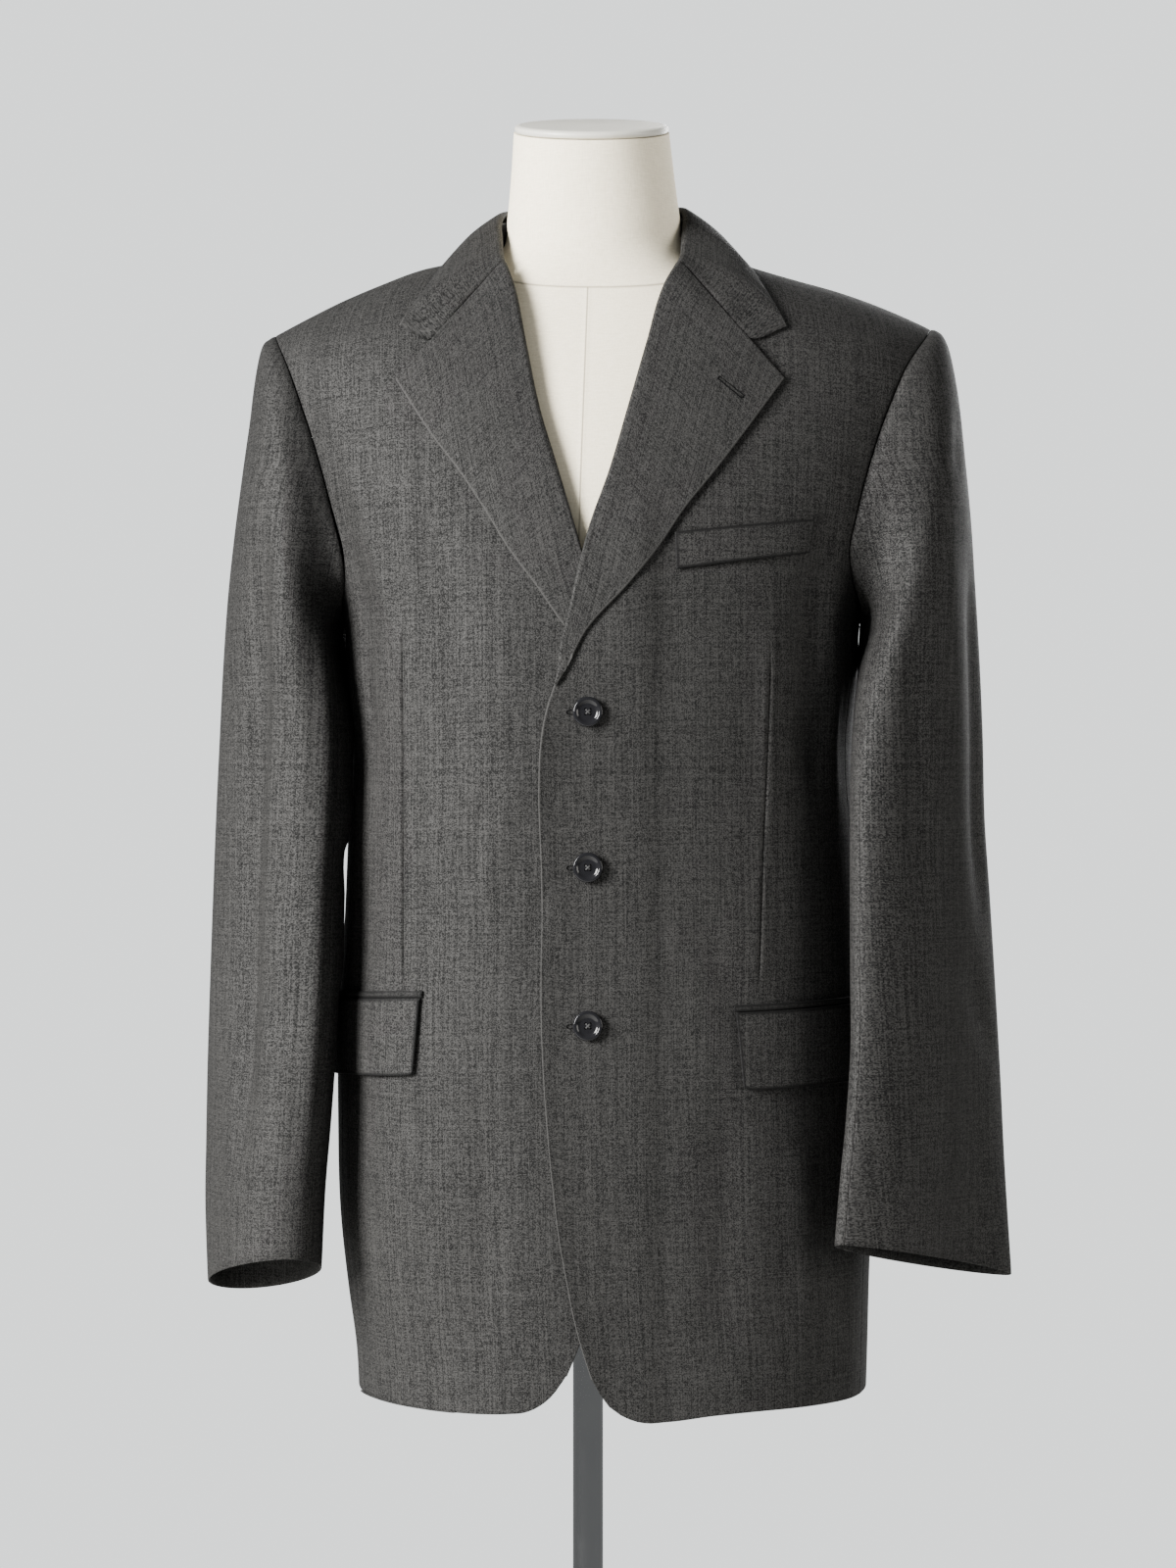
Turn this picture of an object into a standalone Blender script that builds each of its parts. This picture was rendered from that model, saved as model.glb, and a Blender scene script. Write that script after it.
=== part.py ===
"""Single breasted blazer, buttoned on a limbless dress form with a pole and a round base.

Metres, +Z up. The origin is on the floor under the pole, the front faces -Y and the
wearer's left side is at +X. Every cloth panel is cut from one worn body surface: a stack
of rounded rings, whose places are given by a turn about the body (0 at the middle of the
front, positive towards +X, pi at the middle of the back) and a height. The shoulders close
the rings along the shoulder seams. A panel is a patch between four edges in turn and
height, and what lies on a panel is made from the panel's own points, moved out.
"""

import math
from collections import namedtuple

import bmesh
import bpy
import numpy as np
from mathutils import Matrix, Vector

# ---------------------------------------------------------------- driving sizes
CLOTH = 0.0016            # wall of a panel: worsted, canvas and lining together
BACK_CLOTH = 0.0018       # wall of the backs, which hang free of the form
SEAM = 0.0003             # gap between two pieces at a seam
SQUARENESS = 2.4          # exponent of the rounded rings of the worn body
UNDERARM = 1.250          # height of the bottom of both armholes
HEM = 0.7115              # height of the hem at the sides and the back
NECK_BACK = 1.5035        # height of the back neckline on the centre back seam
VENT_TOP = 0.935          # height where both side vents start
RIDGE = 0.008             # the shoulder seams lie this far behind the pole's axis
CAP = 0.060               # height over which the shoulder turns from front to back
RIDGE_BLEND = 0.0020      # height below a shoulder seam where the walls stop leaning
SIDE_SEAM = 154.0         # place of the side seams on the armhole, degrees from its top
BACK_SEAM = 70.0          # place of the sleeve's back seam, degrees from its top
BUTTON_HEIGHTS = (1.1788, 1.0758, 0.9710)
BUTTON_DIAMETER = 0.0200
BUTTON_GAP = 0.0009       # the buttons stand this far off the curved front
POLE_DIAMETER = 0.0212
BASE_DIAMETER = 0.360
BASE_THICKNESS = 0.008
CAP_DIAMETER = 0.1085
NECK_TILT = math.radians(16)
WEARERS_LEFT = 1          # +X side, the front that lies over
WEARERS_RIGHT = -1        # -X side, the front that lies under

# Ring of the worn body at each height: how far it reaches to each side of the pole's axis.
BodyRow = namedtuple("BodyRow", "z left right front back")
BODY = (
    BodyRow(0.690, 0.1600, 0.1945, 0.147, 0.126),
    BodyRow(0.740, 0.1625, 0.1960, 0.147, 0.126),
    BodyRow(0.780, 0.1680, 0.1970, 0.146, 0.125),
    BodyRow(0.830, 0.1735, 0.1985, 0.145, 0.124),
    BodyRow(0.900, 0.1755, 0.1975, 0.143, 0.120),
    BodyRow(0.980, 0.1748, 0.1965, 0.141, 0.111),
    BodyRow(1.040, 0.1707, 0.1940, 0.140, 0.105),
    BodyRow(1.090, 0.1686, 0.1900, 0.140, 0.103),
    BodyRow(1.155, 0.1650, 0.1855, 0.143, 0.109),
    BodyRow(1.205, 0.1695, 0.1895, 0.143, 0.116),
    BodyRow(1.245, 0.1714, 0.1910, 0.140, 0.120),
    BodyRow(1.300, 0.1880, 0.2080, 0.133, 0.121),
    BodyRow(1.360, 0.2065, 0.2265, 0.118, 0.116),
    BodyRow(1.400, 0.2190, 0.2390, 0.103, 0.108),
    BodyRow(1.440, 0.2305, 0.2505, 0.086, 0.098),
    BodyRow(1.475, 0.2400, 0.2600, 0.070, 0.086),
    BodyRow(1.520, 0.2500, 0.2700, 0.052, 0.066),
)

# Height of the shoulder line at each distance from the centre, for the two shoulders.
ShoulderRow = namedtuple("ShoulderRow", "x left right")
SHOULDER = (
    ShoulderRow(0.0000, 1.5750, 1.5750),
    ShoulderRow(0.0300, 1.5600, 1.5620),
    ShoulderRow(0.0500, 1.5360, 1.5400),
    ShoulderRow(0.0660, 1.5130, 1.5200),
    ShoulderRow(0.0800, 1.5045, 1.5095),
    ShoulderRow(0.0980, 1.4985, 1.5025),
    ShoulderRow(0.1154, 1.4945, 1.4965),
    ShoulderRow(0.1472, 1.4827, 1.4868),
    ShoulderRow(0.1730, 1.4717, 1.4795),
    ShoulderRow(0.1970, 1.4599, 1.4713),
    ShoulderRow(0.2190, 1.4485, 1.4625),
    ShoulderRow(0.2388, 1.4380, 1.4537),
    ShoulderRow(0.2700, 1.4200, 1.4370),
)

# How far each armhole seam scoops in from the side of the body, in degrees of turn, at
# each part of its height: front of the right armhole, front of the left one, both backs.
ArmholeRow = namedtuple("ArmholeRow", "part right left back")
ARMHOLE = (
    ArmholeRow(0.00, 25.0, 33.0, 24.0),
    ArmholeRow(0.25, 26.0, 34.0, 25.0),
    ArmholeRow(0.50, 27.0, 34.0, 25.0),
    ArmholeRow(0.70, 26.0, 32.0, 24.5),
    ArmholeRow(0.85, 24.0, 28.5, 23.0),
    ArmholeRow(1.00, 19.6, 19.6, 19.6),
)
ARMHOLE_TURNS_IN = 0.25   # part of the armhole's height over which its bottom rounds in
LOOP_ANGLES = (0, 10, 22, 36, 52, 70, 88, 106, 124, 140, 154, 167, 180)

# Edge of each front, from the rounded hem corner up to the foot of the roll line.
EdgeRow = namedtuple("EdgeRow", "z over under")
FRONT_EDGE = (
    EdgeRow(0.7390, 0.0026, -0.0140),
    EdgeRow(0.7560, -0.0030, -0.0070),
    EdgeRow(0.7700, -0.0070, -0.0020),
    EdgeRow(0.7870, -0.0108, 0.0040),
    EdgeRow(0.8060, -0.0143, 0.0090),
    EdgeRow(0.8320, -0.0189, 0.0150),
    EdgeRow(0.8580, -0.0221, 0.0200),
    EdgeRow(0.9100, -0.0270, 0.0260),
    EdgeRow(0.9620, -0.0300, 0.0290),
    EdgeRow(1.0660, -0.0300, 0.0300),
    EdgeRow(1.1310, -0.0314, 0.0300),
    EdgeRow(1.1570, -0.0302, 0.0290),
    EdgeRow(1.1830, -0.0262, 0.0255),
    EdgeRow(1.1960, -0.0221, 0.0220),
    EdgeRow(1.2430, -0.0105, 0.0075),
    EdgeRow(1.2740, -0.0035, -0.0033),
    EdgeRow(1.3010, 0.0035, -0.0112),
    EdgeRow(1.3380, 0.0162, -0.0218),
    EdgeRow(1.3820, 0.0288, -0.0346),
    EdgeRow(1.4260, 0.0412, -0.0436),
    EdgeRow(1.4720, 0.0548, -0.0530),
    EdgeRow(1.4900, 0.0640, -0.0590),
    EdgeRow(1.5100, 0.0720, -0.0665),
)
ROLL_FOOT = 1.1960        # height where both lapels start
ROLL_HEAD = 1.4870        # height where both lapels meet the collar

# Hem of each front from its rounded corner to the side.
HemRow = namedtuple("HemRow", "x z")
HEM_OVER = (
    HemRow(0.0026, 0.7390),
    HemRow(0.0110, 0.7230),
    HemRow(0.0195, 0.7150),
    HemRow(0.0290, 0.7100),
    HemRow(0.0390, 0.7077),
    HemRow(0.0533, 0.7080),
    HemRow(0.0820, 0.7110),
    HemRow(0.1110, 0.7125),
    HemRow(0.1500, 0.7125),
    HemRow(0.2000, 0.7115),
)
HEM_UNDER = (
    HemRow(0.0140, 0.7390),
    HemRow(0.0234, 0.7262),
    HemRow(0.0320, 0.7190),
    HemRow(0.0410, 0.7147),
    HemRow(0.0533, 0.7130),
    HemRow(0.0680, 0.7122),
    HemRow(0.0925, 0.7120),
    HemRow(0.1305, 0.7130),
    HemRow(0.2000, 0.7115),
)

# Free outer edge of each lapel, from its foot to its point.
LapelRow = namedtuple("LapelRow", "z over under")
LAPEL_EDGE = (
    LapelRow(1.1990, -0.0185, 0.0185),
    LapelRow(1.2060, -0.0144, 0.0120),
    LapelRow(1.2340, 0.0005, -0.0144),
    LapelRow(1.2620, 0.0260, -0.0340),
    LapelRow(1.2880, 0.0468, -0.0532),
    LapelRow(1.3140, 0.0640, -0.0689),
    LapelRow(1.3410, 0.0855, -0.0867),
    LapelRow(1.3650, 0.1035, -0.1046),
    LapelRow(1.4050, 0.1325, -0.1300),
)
NOTCH = 0.67              # place of the notch along the gorge, from the roll to the point
LAPEL_ROLL_HEIGHT = 0.0046
LAPEL_EDGE_HEIGHT = 0.0034
LAPEL_FOOT_HEIGHT = 0.0025
LAPEL_RISES = (1.283, 1.350)   # heights between which a lapel rises to its full roll
LAPEL_HOOKS = 0.030            # length of roll line over which the fold forms at its foot
UNDER_LAPEL_STARTS = 0.016     # the lapel that lies under the other starts this far up

# The collar, from its front end on the gorge round to the centre back: the fold that
# stands by the neck, and the free edge (leaf) that lies on the coat.
CollarRow = namedtuple("CollarRow", "part fold_x fold_y fold_z leaf_x leaf_z")
COLLAR_RIGHT = (
    CollarRow(0.00, -0.0600, -0.0560, 1.4880, -0.1285, 1.4430),
    CollarRow(0.22, -0.0618, -0.0240, 1.5110, -0.1130, 1.4680),
    CollarRow(0.46, -0.0620, 0.0080, 1.5300, -0.0930, 1.5000),
    CollarRow(0.74, -0.0460, 0.0540, 1.5410, -0.0740, 1.4900),
    CollarRow(1.00, 0.0030, 0.0710, 1.5450, 0.0030, 1.4860),
)
COLLAR_LEFT = (
    CollarRow(0.00, 0.0655, -0.0560, 1.4880, 0.1350, 1.4420),
    CollarRow(0.22, 0.0675, -0.0240, 1.5130, 0.1220, 1.4690),
    CollarRow(0.46, 0.0685, 0.0080, 1.5340, 0.1030, 1.5010),
    CollarRow(0.74, 0.0520, 0.0540, 1.5420, 0.0800, 1.4900),
    CollarRow(1.00, 0.0030, 0.0710, 1.5450, 0.0030, 1.4860),
)

COLLAR_PARTS = (0, 0.06, 0.14, 0.24, 0.34, 0.46, 0.59, 0.72, 0.86, 1.0)
STAND_PARTS = (0.43, 0.50, 0.59, 0.72, 0.86, 1.0)

# Fold of a lapel or collar: how far each point lies past the fold line and how high.
FOLD_REACH = (-0.0024, -0.0033, -0.0022, 0.0020)
FOLD_HEIGHT = (-0.0014, 0.0008, 0.0034, LAPEL_ROLL_HEIGHT)
FLAT_REACH = (0.0001, 0.0006, 0.0011, 0.0020)
FALL_PARTS = (0.25, 0.50, 0.75, 1.0)

# Hip pockets: front end and back end of the flap's top and bottom edge.
PocketRow = namedtuple("PocketRow", "side front_x lean top_front top_back low_front low_back")
POCKETS = (
    PocketRow(WEARERS_RIGHT, 0.1115, 0.0040, 0.9876, 0.9820, 0.9355, 0.9295),
    PocketRow(WEARERS_LEFT, 0.0980, 0.0045, 0.9788, 0.9830, 0.9268, 0.9305),
)
POCKET_BACK_TURN = 86.0
FLAP_WALL = 0.0018
JET_HEIGHT = 0.0046
JET_WALL = 0.0012

# Breast welt: its two upper and two lower corners.
WELT_TOP = ((0.0575, 1.2985), (0.1523, 1.3095))
WELT_LOW = ((0.0585, 1.2735), (0.1500, 1.2865))

# One ring of a sleeve: its outermost and innermost point, its middle and half size in
# depth, how far its widest line turns (slant) and how far its plane tips down to the back.
SleeveRow = namedtuple("SleeveRow", "out_x out_z in_x in_z mid_y half_y slant pitch")
SLEEVE_RIGHT = (
    SleeveRow(0.2190, 1.4490, 0.1714, 1.2500, 0.000, 0.0660, 0, 0),
    SleeveRow(0.2228, 1.4468, 0.1720, 1.2475, -0.001, 0.0675, 0, 0),
    SleeveRow(0.2287, 1.4405, 0.1728, 1.2445, -0.002, 0.0695, 2, 0),
    SleeveRow(0.2335, 1.4200, 0.1738, 1.2400, -0.004, 0.0725, 4, 0),
    SleeveRow(0.2384, 1.3846, 0.1742, 1.2330, -0.006, 0.0750, 7, 0),
    SleeveRow(0.2437, 1.3480, 0.1735, 1.2240, -0.008, 0.0765, 10, 0),
    SleeveRow(0.2497, 1.3050, 0.1715, 1.2120, -0.010, 0.0765, 14, 0),
    SleeveRow(0.2546, 1.2620, 0.1690, 1.1960, -0.012, 0.0755, 18, 0),
    SleeveRow(0.2582, 1.2150, 0.1665, 1.1720, -0.014, 0.0740, 22, 1),
    SleeveRow(0.2610, 1.1650, 0.1652, 1.1400, -0.016, 0.0720, 26, 2),
    SleeveRow(0.2634, 1.1150, 0.1668, 1.1000, -0.019, 0.0705, 29, 4),
    SleeveRow(0.2653, 1.0600, 0.1692, 1.0520, -0.024, 0.0690, 32, 6),
    SleeveRow(0.2667, 1.0000, 0.1700, 0.9980, -0.031, 0.0670, 33, 8),
    SleeveRow(0.2674, 0.9400, 0.1722, 0.9440, -0.039, 0.0640, 32, 10),
    SleeveRow(0.2671, 0.8850, 0.1755, 0.8930, -0.047, 0.0600, 30, 13),
    SleeveRow(0.2664, 0.8450, 0.1790, 0.8480, -0.054, 0.0560, 28, 15),
    SleeveRow(0.2636, 0.7930, 0.1812, 0.7950, -0.061, 0.0530, 26, 18),
)
SLEEVE_LEFT = (
    SleeveRow(0.2388, 1.4537, 0.1910, 1.2500, 0.000, 0.0660, 0, 0),
    SleeveRow(0.2425, 1.4525, 0.1915, 1.2475, -0.003, 0.0675, 0, 0),
    SleeveRow(0.2485, 1.4475, 0.1922, 1.2445, -0.006, 0.0695, 3, 0),
    SleeveRow(0.2545, 1.4330, 0.1930, 1.2400, -0.010, 0.0725, 7, 0),
    SleeveRow(0.2605, 1.4020, 0.1920, 1.2330, -0.016, 0.0750, 12, 0),
    SleeveRow(0.2650, 1.3630, 0.1900, 1.2240, -0.023, 0.0760, 18, 0),
    SleeveRow(0.2695, 1.3180, 0.1865, 1.2120, -0.031, 0.0760, 25, 0),
    SleeveRow(0.2730, 1.2680, 0.1830, 1.1960, -0.038, 0.0750, 32, 0),
    SleeveRow(0.2760, 1.2180, 0.1800, 1.1720, -0.044, 0.0730, 38, 1),
    SleeveRow(0.2780, 1.1650, 0.1775, 1.1400, -0.050, 0.0710, 43, 2),
    SleeveRow(0.2790, 1.1100, 0.1765, 1.1000, -0.055, 0.0690, 47, 4),
    SleeveRow(0.2820, 1.0600, 0.1760, 1.0520, -0.060, 0.0670, 50, 6),
    SleeveRow(0.2850, 1.0000, 0.1757, 0.9980, -0.066, 0.0640, 52, 8),
    SleeveRow(0.2875, 0.9400, 0.1755, 0.9460, -0.073, 0.0600, 54, 10),
    SleeveRow(0.2890, 0.8850, 0.1720, 0.8960, -0.080, 0.0550, 56, 12),
    SleeveRow(0.2903, 0.8460, 0.1680, 0.8570, -0.086, 0.0500, 58, 14),
    SleeveRow(0.2920, 0.8040, 0.1640, 0.8120, -0.092, 0.0450, 60, 16),
)
HEAD_RINGS = 5            # rings over which the sleeve leaves the armhole's own shape
HEAD_GAP = 0.0005         # gap between a sleeve's head and the armhole, along X
SLEEVE_CLEAR = 0.0030     # the sleeve keeps this far from the body of the coat
SLEEVE_SEAM_TURN = math.radians(0.28)   # half of the gap between a sleeve's two pieces

# Ring of the dress form at each height, measured from its own middle.
FormRow = namedtuple("FormRow", "z half front back x tilt")
FORM = (
    FormRow(0.8000, 0.1180, 0.086, 0.080, 0.008, 0.0),
    FormRow(0.8025, 0.1340, 0.099, 0.090, 0.008, 0.0),
    FormRow(0.8100, 0.1480, 0.110, 0.098, 0.008, 0.0),
    FormRow(0.8300, 0.1560, 0.117, 0.105, 0.008, 0.0),
    FormRow(0.8800, 0.1600, 0.122, 0.110, 0.008, 0.0),
    FormRow(0.9500, 0.1610, 0.123, 0.105, 0.008, 0.0),
    FormRow(1.0200, 0.1540, 0.119, 0.098, 0.008, 0.0),
    FormRow(1.0900, 0.1470, 0.117, 0.093, 0.008, 0.0),
    FormRow(1.1600, 0.1490, 0.123, 0.098, 0.008, 0.0),
    FormRow(1.2300, 0.1560, 0.130, 0.107, 0.008, 0.0),
    FormRow(1.3000, 0.1640, 0.126, 0.111, 0.008, 0.0),
    FormRow(1.3600, 0.1730, 0.111, 0.107, 0.008, 0.0),
    FormRow(1.4000, 0.1780, 0.096, 0.099, 0.008, 0.0),
    FormRow(1.4260, 0.1760, 0.084, 0.090, 0.008, 0.0),
    FormRow(1.4440, 0.1640, 0.076, 0.083, 0.007, 0.0),
    FormRow(1.4590, 0.1420, 0.070, 0.077, 0.006, 0.0),
    FormRow(1.4720, 0.1160, 0.066, 0.072, 0.005, 0.5),
    FormRow(1.4840, 0.0910, 0.063, 0.069, 0.0045, 1.5),
    FormRow(1.4960, 0.0735, 0.0615, 0.0665, 0.0043, 3.0),
    FormRow(1.5100, 0.0632, 0.0600, 0.0615, 0.0042, 5.0),
    FormRow(1.5300, 0.0608, 0.0590, 0.0610, 0.0040, 8.0),
    FormRow(1.5550, 0.0580, 0.0590, 0.0570, 0.0035, 12.0),
    FormRow(1.5905, 0.0548, 0.0600, 0.0490, 0.0025, 16.0),
)
FORM_SQUARENESS = 2.15
NECK_SQUARENESS = 2.0

# Soft vertical folds: where the middle of each lies, its reach and its depth.
FoldRow = namedtuple("FoldRow", "turn z wide tall depth")
BODY_FOLDS = (
    FoldRow(-64, 0.980, 7, 0.150, -0.0030),
    FoldRow(-50, 0.880, 9, 0.160, 0.0025),
    FoldRow(62, 0.860, 9, 0.150, 0.0025),
    FoldRow(-125, 0.900, 10, 0.170, -0.0040),
    FoldRow(128, 0.880, 11, 0.160, -0.0040),
    FoldRow(150, 0.840, 8, 0.150, 0.0035),
    FoldRow(-152, 0.860, 9, 0.160, 0.0030),
    FoldRow(-140, 1.330, 9, 0.080, -0.0030),
    FoldRow(140, 1.330, 9, 0.080, -0.0030),
)

# Colours of the parts: red, green, blue, roughness and metallic value.
Finish = namedtuple("Finish", "name red green blue rough metal")
WORSTED = Finish("worsted", 0.075, 0.073, 0.071, 0.75, 0.0)
HORN = Finish("button_horn", 0.012, 0.013, 0.014, 0.30, 0.0)
LINEN = Finish("form_linen", 0.74, 0.70, 0.61, 0.90, 0.0)
CAP_PAINT = Finish("cap_paint", 0.66, 0.64, 0.58, 0.45, 0.0)
STEEL = Finish("polished_steel", 0.62, 0.62, 0.61, 0.12, 1.0)


# ---------------------------------------------------------------- tables and curves
def column(rows, name, at, by="z"):
    """Value of a table's column at the given places, on a smooth curve through its rows."""
    places = np.array([getattr(row, by) for row in rows], dtype=float)
    values = np.array([getattr(row, name) for row in rows], dtype=float)
    slopes = np.gradient(values, places)
    at = np.clip(at, places[0], places[-1])
    low = np.clip(np.searchsorted(places, at) - 1, 0, len(places) - 2)
    step = places[low + 1] - places[low]
    t = (at - places[low]) / step
    start = (1 + 2 * t) * (1 - t) ** 2 * values[low] + t * (1 - t) ** 2 * step * slopes[low]
    end = t * t * (3 - 2 * t) * values[low + 1] - t * t * (1 - t) * step * slopes[low + 1]
    return start + end


def smooth_step(t):
    """Soft step from 0 to 1 as t goes from 0 to 1."""
    t = np.clip(t, 0.0, 1.0)
    return t * t * (3 - 2 * t)


def signed_power(value, power):
    """Power of a number's size, with the number's own sign."""
    return np.sign(value) * np.abs(value) ** power


# ---------------------------------------------------------------- worn body surface
def ring(z):
    """Middle and half width of the body's ring at a height."""
    left = column(BODY, "left", z)
    right = column(BODY, "right", z)
    return (right - left) / 2, (right + left) / 2


def shoulder_height(x):
    """Height of the shoulder line above a place across the body."""
    reach = np.abs(x)
    low = column(SHOULDER, "left", reach, by="x")
    high = column(SHOULDER, "right", reach, by="x")
    return np.where(x < 0, low, high)


def body_point(turn, z):
    """Point of the worn body's outer surface, before its folds."""
    turn, z = np.broadcast_arrays(np.asarray(turn, dtype=float), np.asarray(z, dtype=float))
    middle, half = ring(z)
    x = middle + half * signed_power(np.sin(turn), 2 / SQUARENESS)
    depth = np.where(np.cos(turn) > 0, column(BODY, "front", z), column(BODY, "back", z))
    y = -depth * signed_power(np.cos(turn), 2 / SQUARENESS)
    up = np.clip((shoulder_height(x) - z) / CAP, 0.0, 1.0)
    y = RIDGE + (y - RIDGE) * np.sqrt(1 - (1 - up) ** 2)
    return np.stack([x, y, z], axis=-1)


def body_normal(turn, z):
    """Outward direction of the worn body's surface."""
    small = 0.0015
    here = body_point(turn, z)
    across = body_point(turn + small, z) - body_point(turn - small, z)
    upward = here - body_point(turn, z - small)
    out = np.cross(across, upward)
    out = out / np.linalg.norm(out, axis=-1, keepdims=True)
    below = (shoulder_height(here[..., 0]) - here[..., 2]) / RIDGE_BLEND
    out[..., 1] *= np.clip(below, 0.0, 1.0)
    return out / np.linalg.norm(out, axis=-1, keepdims=True)


def fold_depth(turn, z):
    """How far the cloth's soft folds stand out from the body's surface."""
    total = np.zeros(np.broadcast(turn, z).shape)
    for fold in BODY_FOLDS:
        away = (turn - math.radians(fold.turn)) / math.radians(fold.wide)
        total = total + fold.depth * np.exp(-away ** 2 - ((z - fold.z) / fold.tall) ** 2)
    return total


def cloth_point(turn, z, out=0.0):
    """Point of the coat's surface with its folds, moved out by the given distance."""
    lift = np.asarray(fold_depth(turn, z) + out)[..., None]
    return body_point(turn, z) + body_normal(turn, z) * lift


def turn_at(x, z, back=False):
    """Turn about the body at which its ring reaches a place across."""
    middle, half = ring(z)
    part = np.clip((x - middle) / half, -1.0, 1.0)
    turn = np.arcsin(signed_power(part, SQUARENESS / 2))
    if back:
        turn = np.where(turn < 0, -math.pi - turn, math.pi - turn)
    return turn


# ---------------------------------------------------------------- armholes
def shoulder_end(side):
    """Turn and height of the outer end of a shoulder seam."""
    turn = side * math.radians(90 - ARMHOLE[-1].back)
    z = 1.45
    for _ in range(30):
        z = float(shoulder_height(body_point(turn, z)[0]))
    return turn, z


def armhole(side, angle):
    """Turn and height on an armhole seam: angle 0 at its top, positive down its back."""
    angle = np.asarray(angle, dtype=float)
    part = (1 + np.cos(angle)) / 2
    top = shoulder_end(side)[1]
    rounding = np.sqrt(1 - (1 - np.clip(part / ARMHOLE_TURNS_IN, 0, 1)) ** 2)
    front = "left" if side == WEARERS_LEFT else "right"
    scoop = np.where(angle > 0, column(ARMHOLE, "back", part, by="part"),
                     -column(ARMHOLE, front, part, by="part"))
    turn = side * (math.pi / 2 + np.radians(scoop) * rounding)
    return turn, UNDERARM + part * (top - UNDERARM)


# ---------------------------------------------------------------- mesh building
def finish_material(finish):
    """Principled material of a finish, made once."""
    material = bpy.data.materials.get(finish.name)
    if material is None:
        material = bpy.data.materials.new(finish.name)
        material.use_nodes = True
        shader = material.node_tree.nodes["Principled BSDF"]
        colour = (finish.red, finish.green, finish.blue, 1.0)
        shader.inputs["Base Color"].default_value = colour
        shader.inputs["Roughness"].default_value = finish.rough
        shader.inputs["Metallic"].default_value = finish.metal
        material.diffuse_color = colour
    return material


def new_object(name, mesh, finish, group):
    """Object of a mesh in a collection, with a material of its own and smooth shading."""
    thing = bpy.data.objects.new(name, mesh)
    material = finish_material(finish).copy()
    material.name = name + "_" + finish.name
    mesh.materials.append(material)
    mesh.shade_smooth()
    group.objects.link(thing)
    return thing


def grid_mesh(name, points, flip=False, closed=False):
    """Mesh of a grid of points, row by row; closed joins its last column to its first."""
    rows, columns = points.shape[:2]
    sheet = bmesh.new()
    corners = [[sheet.verts.new(point) for point in row] for row in points]
    for row in range(rows - 1):
        for place in range(columns if closed else columns - 1):
            beside = (place + 1) % columns
            face = [corners[row][place], corners[row][beside],
                    corners[row + 1][beside], corners[row + 1][place]]
            sheet.faces.new(reversed(face) if flip else face)
    mesh = bpy.data.meshes.new(name)
    sheet.to_mesh(mesh)
    sheet.free()
    return mesh


def cloth_shell(name, outer, inner, group, flip=False):
    """Cloth piece between an outer and an inner grid, closed all round its edges.

    The two grids keep the seams of neighbouring pieces parallel through the wall.
    """
    rows, columns = outer.shape[:2]
    shell = bmesh.new()
    outside = [[shell.verts.new(point) for point in row] for row in outer]
    inside = [[shell.verts.new(point) for point in row] for row in inner]
    faces = []
    for row in range(rows - 1):
        for place in range(columns - 1):
            for grid, turn_over in ((outside, False), (inside, True)):
                face = [grid[row][place], grid[row][place + 1],
                        grid[row + 1][place + 1], grid[row + 1][place]]
                faces.append(face[::-1] if turn_over else face)
    around = [(0, place) for place in range(columns)]
    around += [(row, columns - 1) for row in range(1, rows)]
    around += [(rows - 1, place) for place in range(columns - 2, -1, -1)]
    around += [(row, 0) for row in range(rows - 2, 0, -1)]
    for (row, place), (next_row, next_place) in zip(around, around[1:] + around[:1]):
        faces.append([outside[row][place], inside[row][place],
                      inside[next_row][next_place], outside[next_row][next_place]])
    for face in faces:
        shell.faces.new(face[::-1] if flip else face)
    mesh = bpy.data.meshes.new(name)
    shell.to_mesh(mesh)
    shell.free()
    new_object(name, mesh, WORSTED, group)


def body_shell(name, turn, z, lift, group, flip, wall=CLOTH, seam_shift=0.0):
    """Cloth piece cut from the worn body's surface, lifted off it by a distance."""
    outer = cloth_point(turn, z, lift)
    inner = cloth_point(turn, z, lift - wall)
    outer[-1, :, 1] += seam_shift
    inner[-1, :, 1] += seam_shift
    cloth_shell(name, outer, inner, group, flip)


def cloth_wall(name, points, group, flip=False):
    """Cloth piece: the grid is its outer face, and the wall lies inside it."""
    thing = new_object(name, grid_mesh(name, points, flip), WORSTED, group)
    wall = thing.modifiers.new("Wall", "SOLIDIFY")
    wall.thickness = CLOTH
    wall.offset = -1.0
    wall.use_quality_normals = True


def patch(start, end, bottom, top, across, up):
    """Grid in turn and height between four edges.

    start and end hold one (turn, height) for each row, bottom and top one for each
    column; across and up give the columns' and rows' places from 0 to 1.
    """
    across = across[None, :, None]
    up = up[:, None, None]
    sides = start[:, None] * (1 - across) + end[:, None] * across
    low = bottom - (bottom[0] * (1 - across) + bottom[-1] * across)
    high = top - (top[0] * (1 - across) + top[-1] * across)
    return sides + low * (1 - up) + high * up


# ---------------------------------------------------------------- fronts, sides, backs
def seam_angles(stop):
    """Angles on the armhole from the side seam up to its top, degrees."""
    return np.radians([angle for angle in reversed(LOOP_ANGLES) if angle <= stop])


def side_edge(side, low_rows, facing):
    """Side seam from the hem up, then the armhole to the shoulder's end.

    facing is -1 for the front's edge and 1 for the back's. Returns (turn, height) rows,
    of which low_rows lie below the armhole.
    """
    turns, heights = armhole(side, facing * seam_angles(SIDE_SEAM))
    if facing > 0:
        turns[-1] = side * math.pi - turns[-1]
    low = np.linspace(0, 1, low_rows, endpoint=False) ** 1.15
    below = HEM + low * (heights[0] - HEM)
    edge_turns = np.concatenate([np.full(low_rows, turns[0]), turns])
    return np.stack([edge_turns, np.concatenate([below, heights])], axis=-1)


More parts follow.
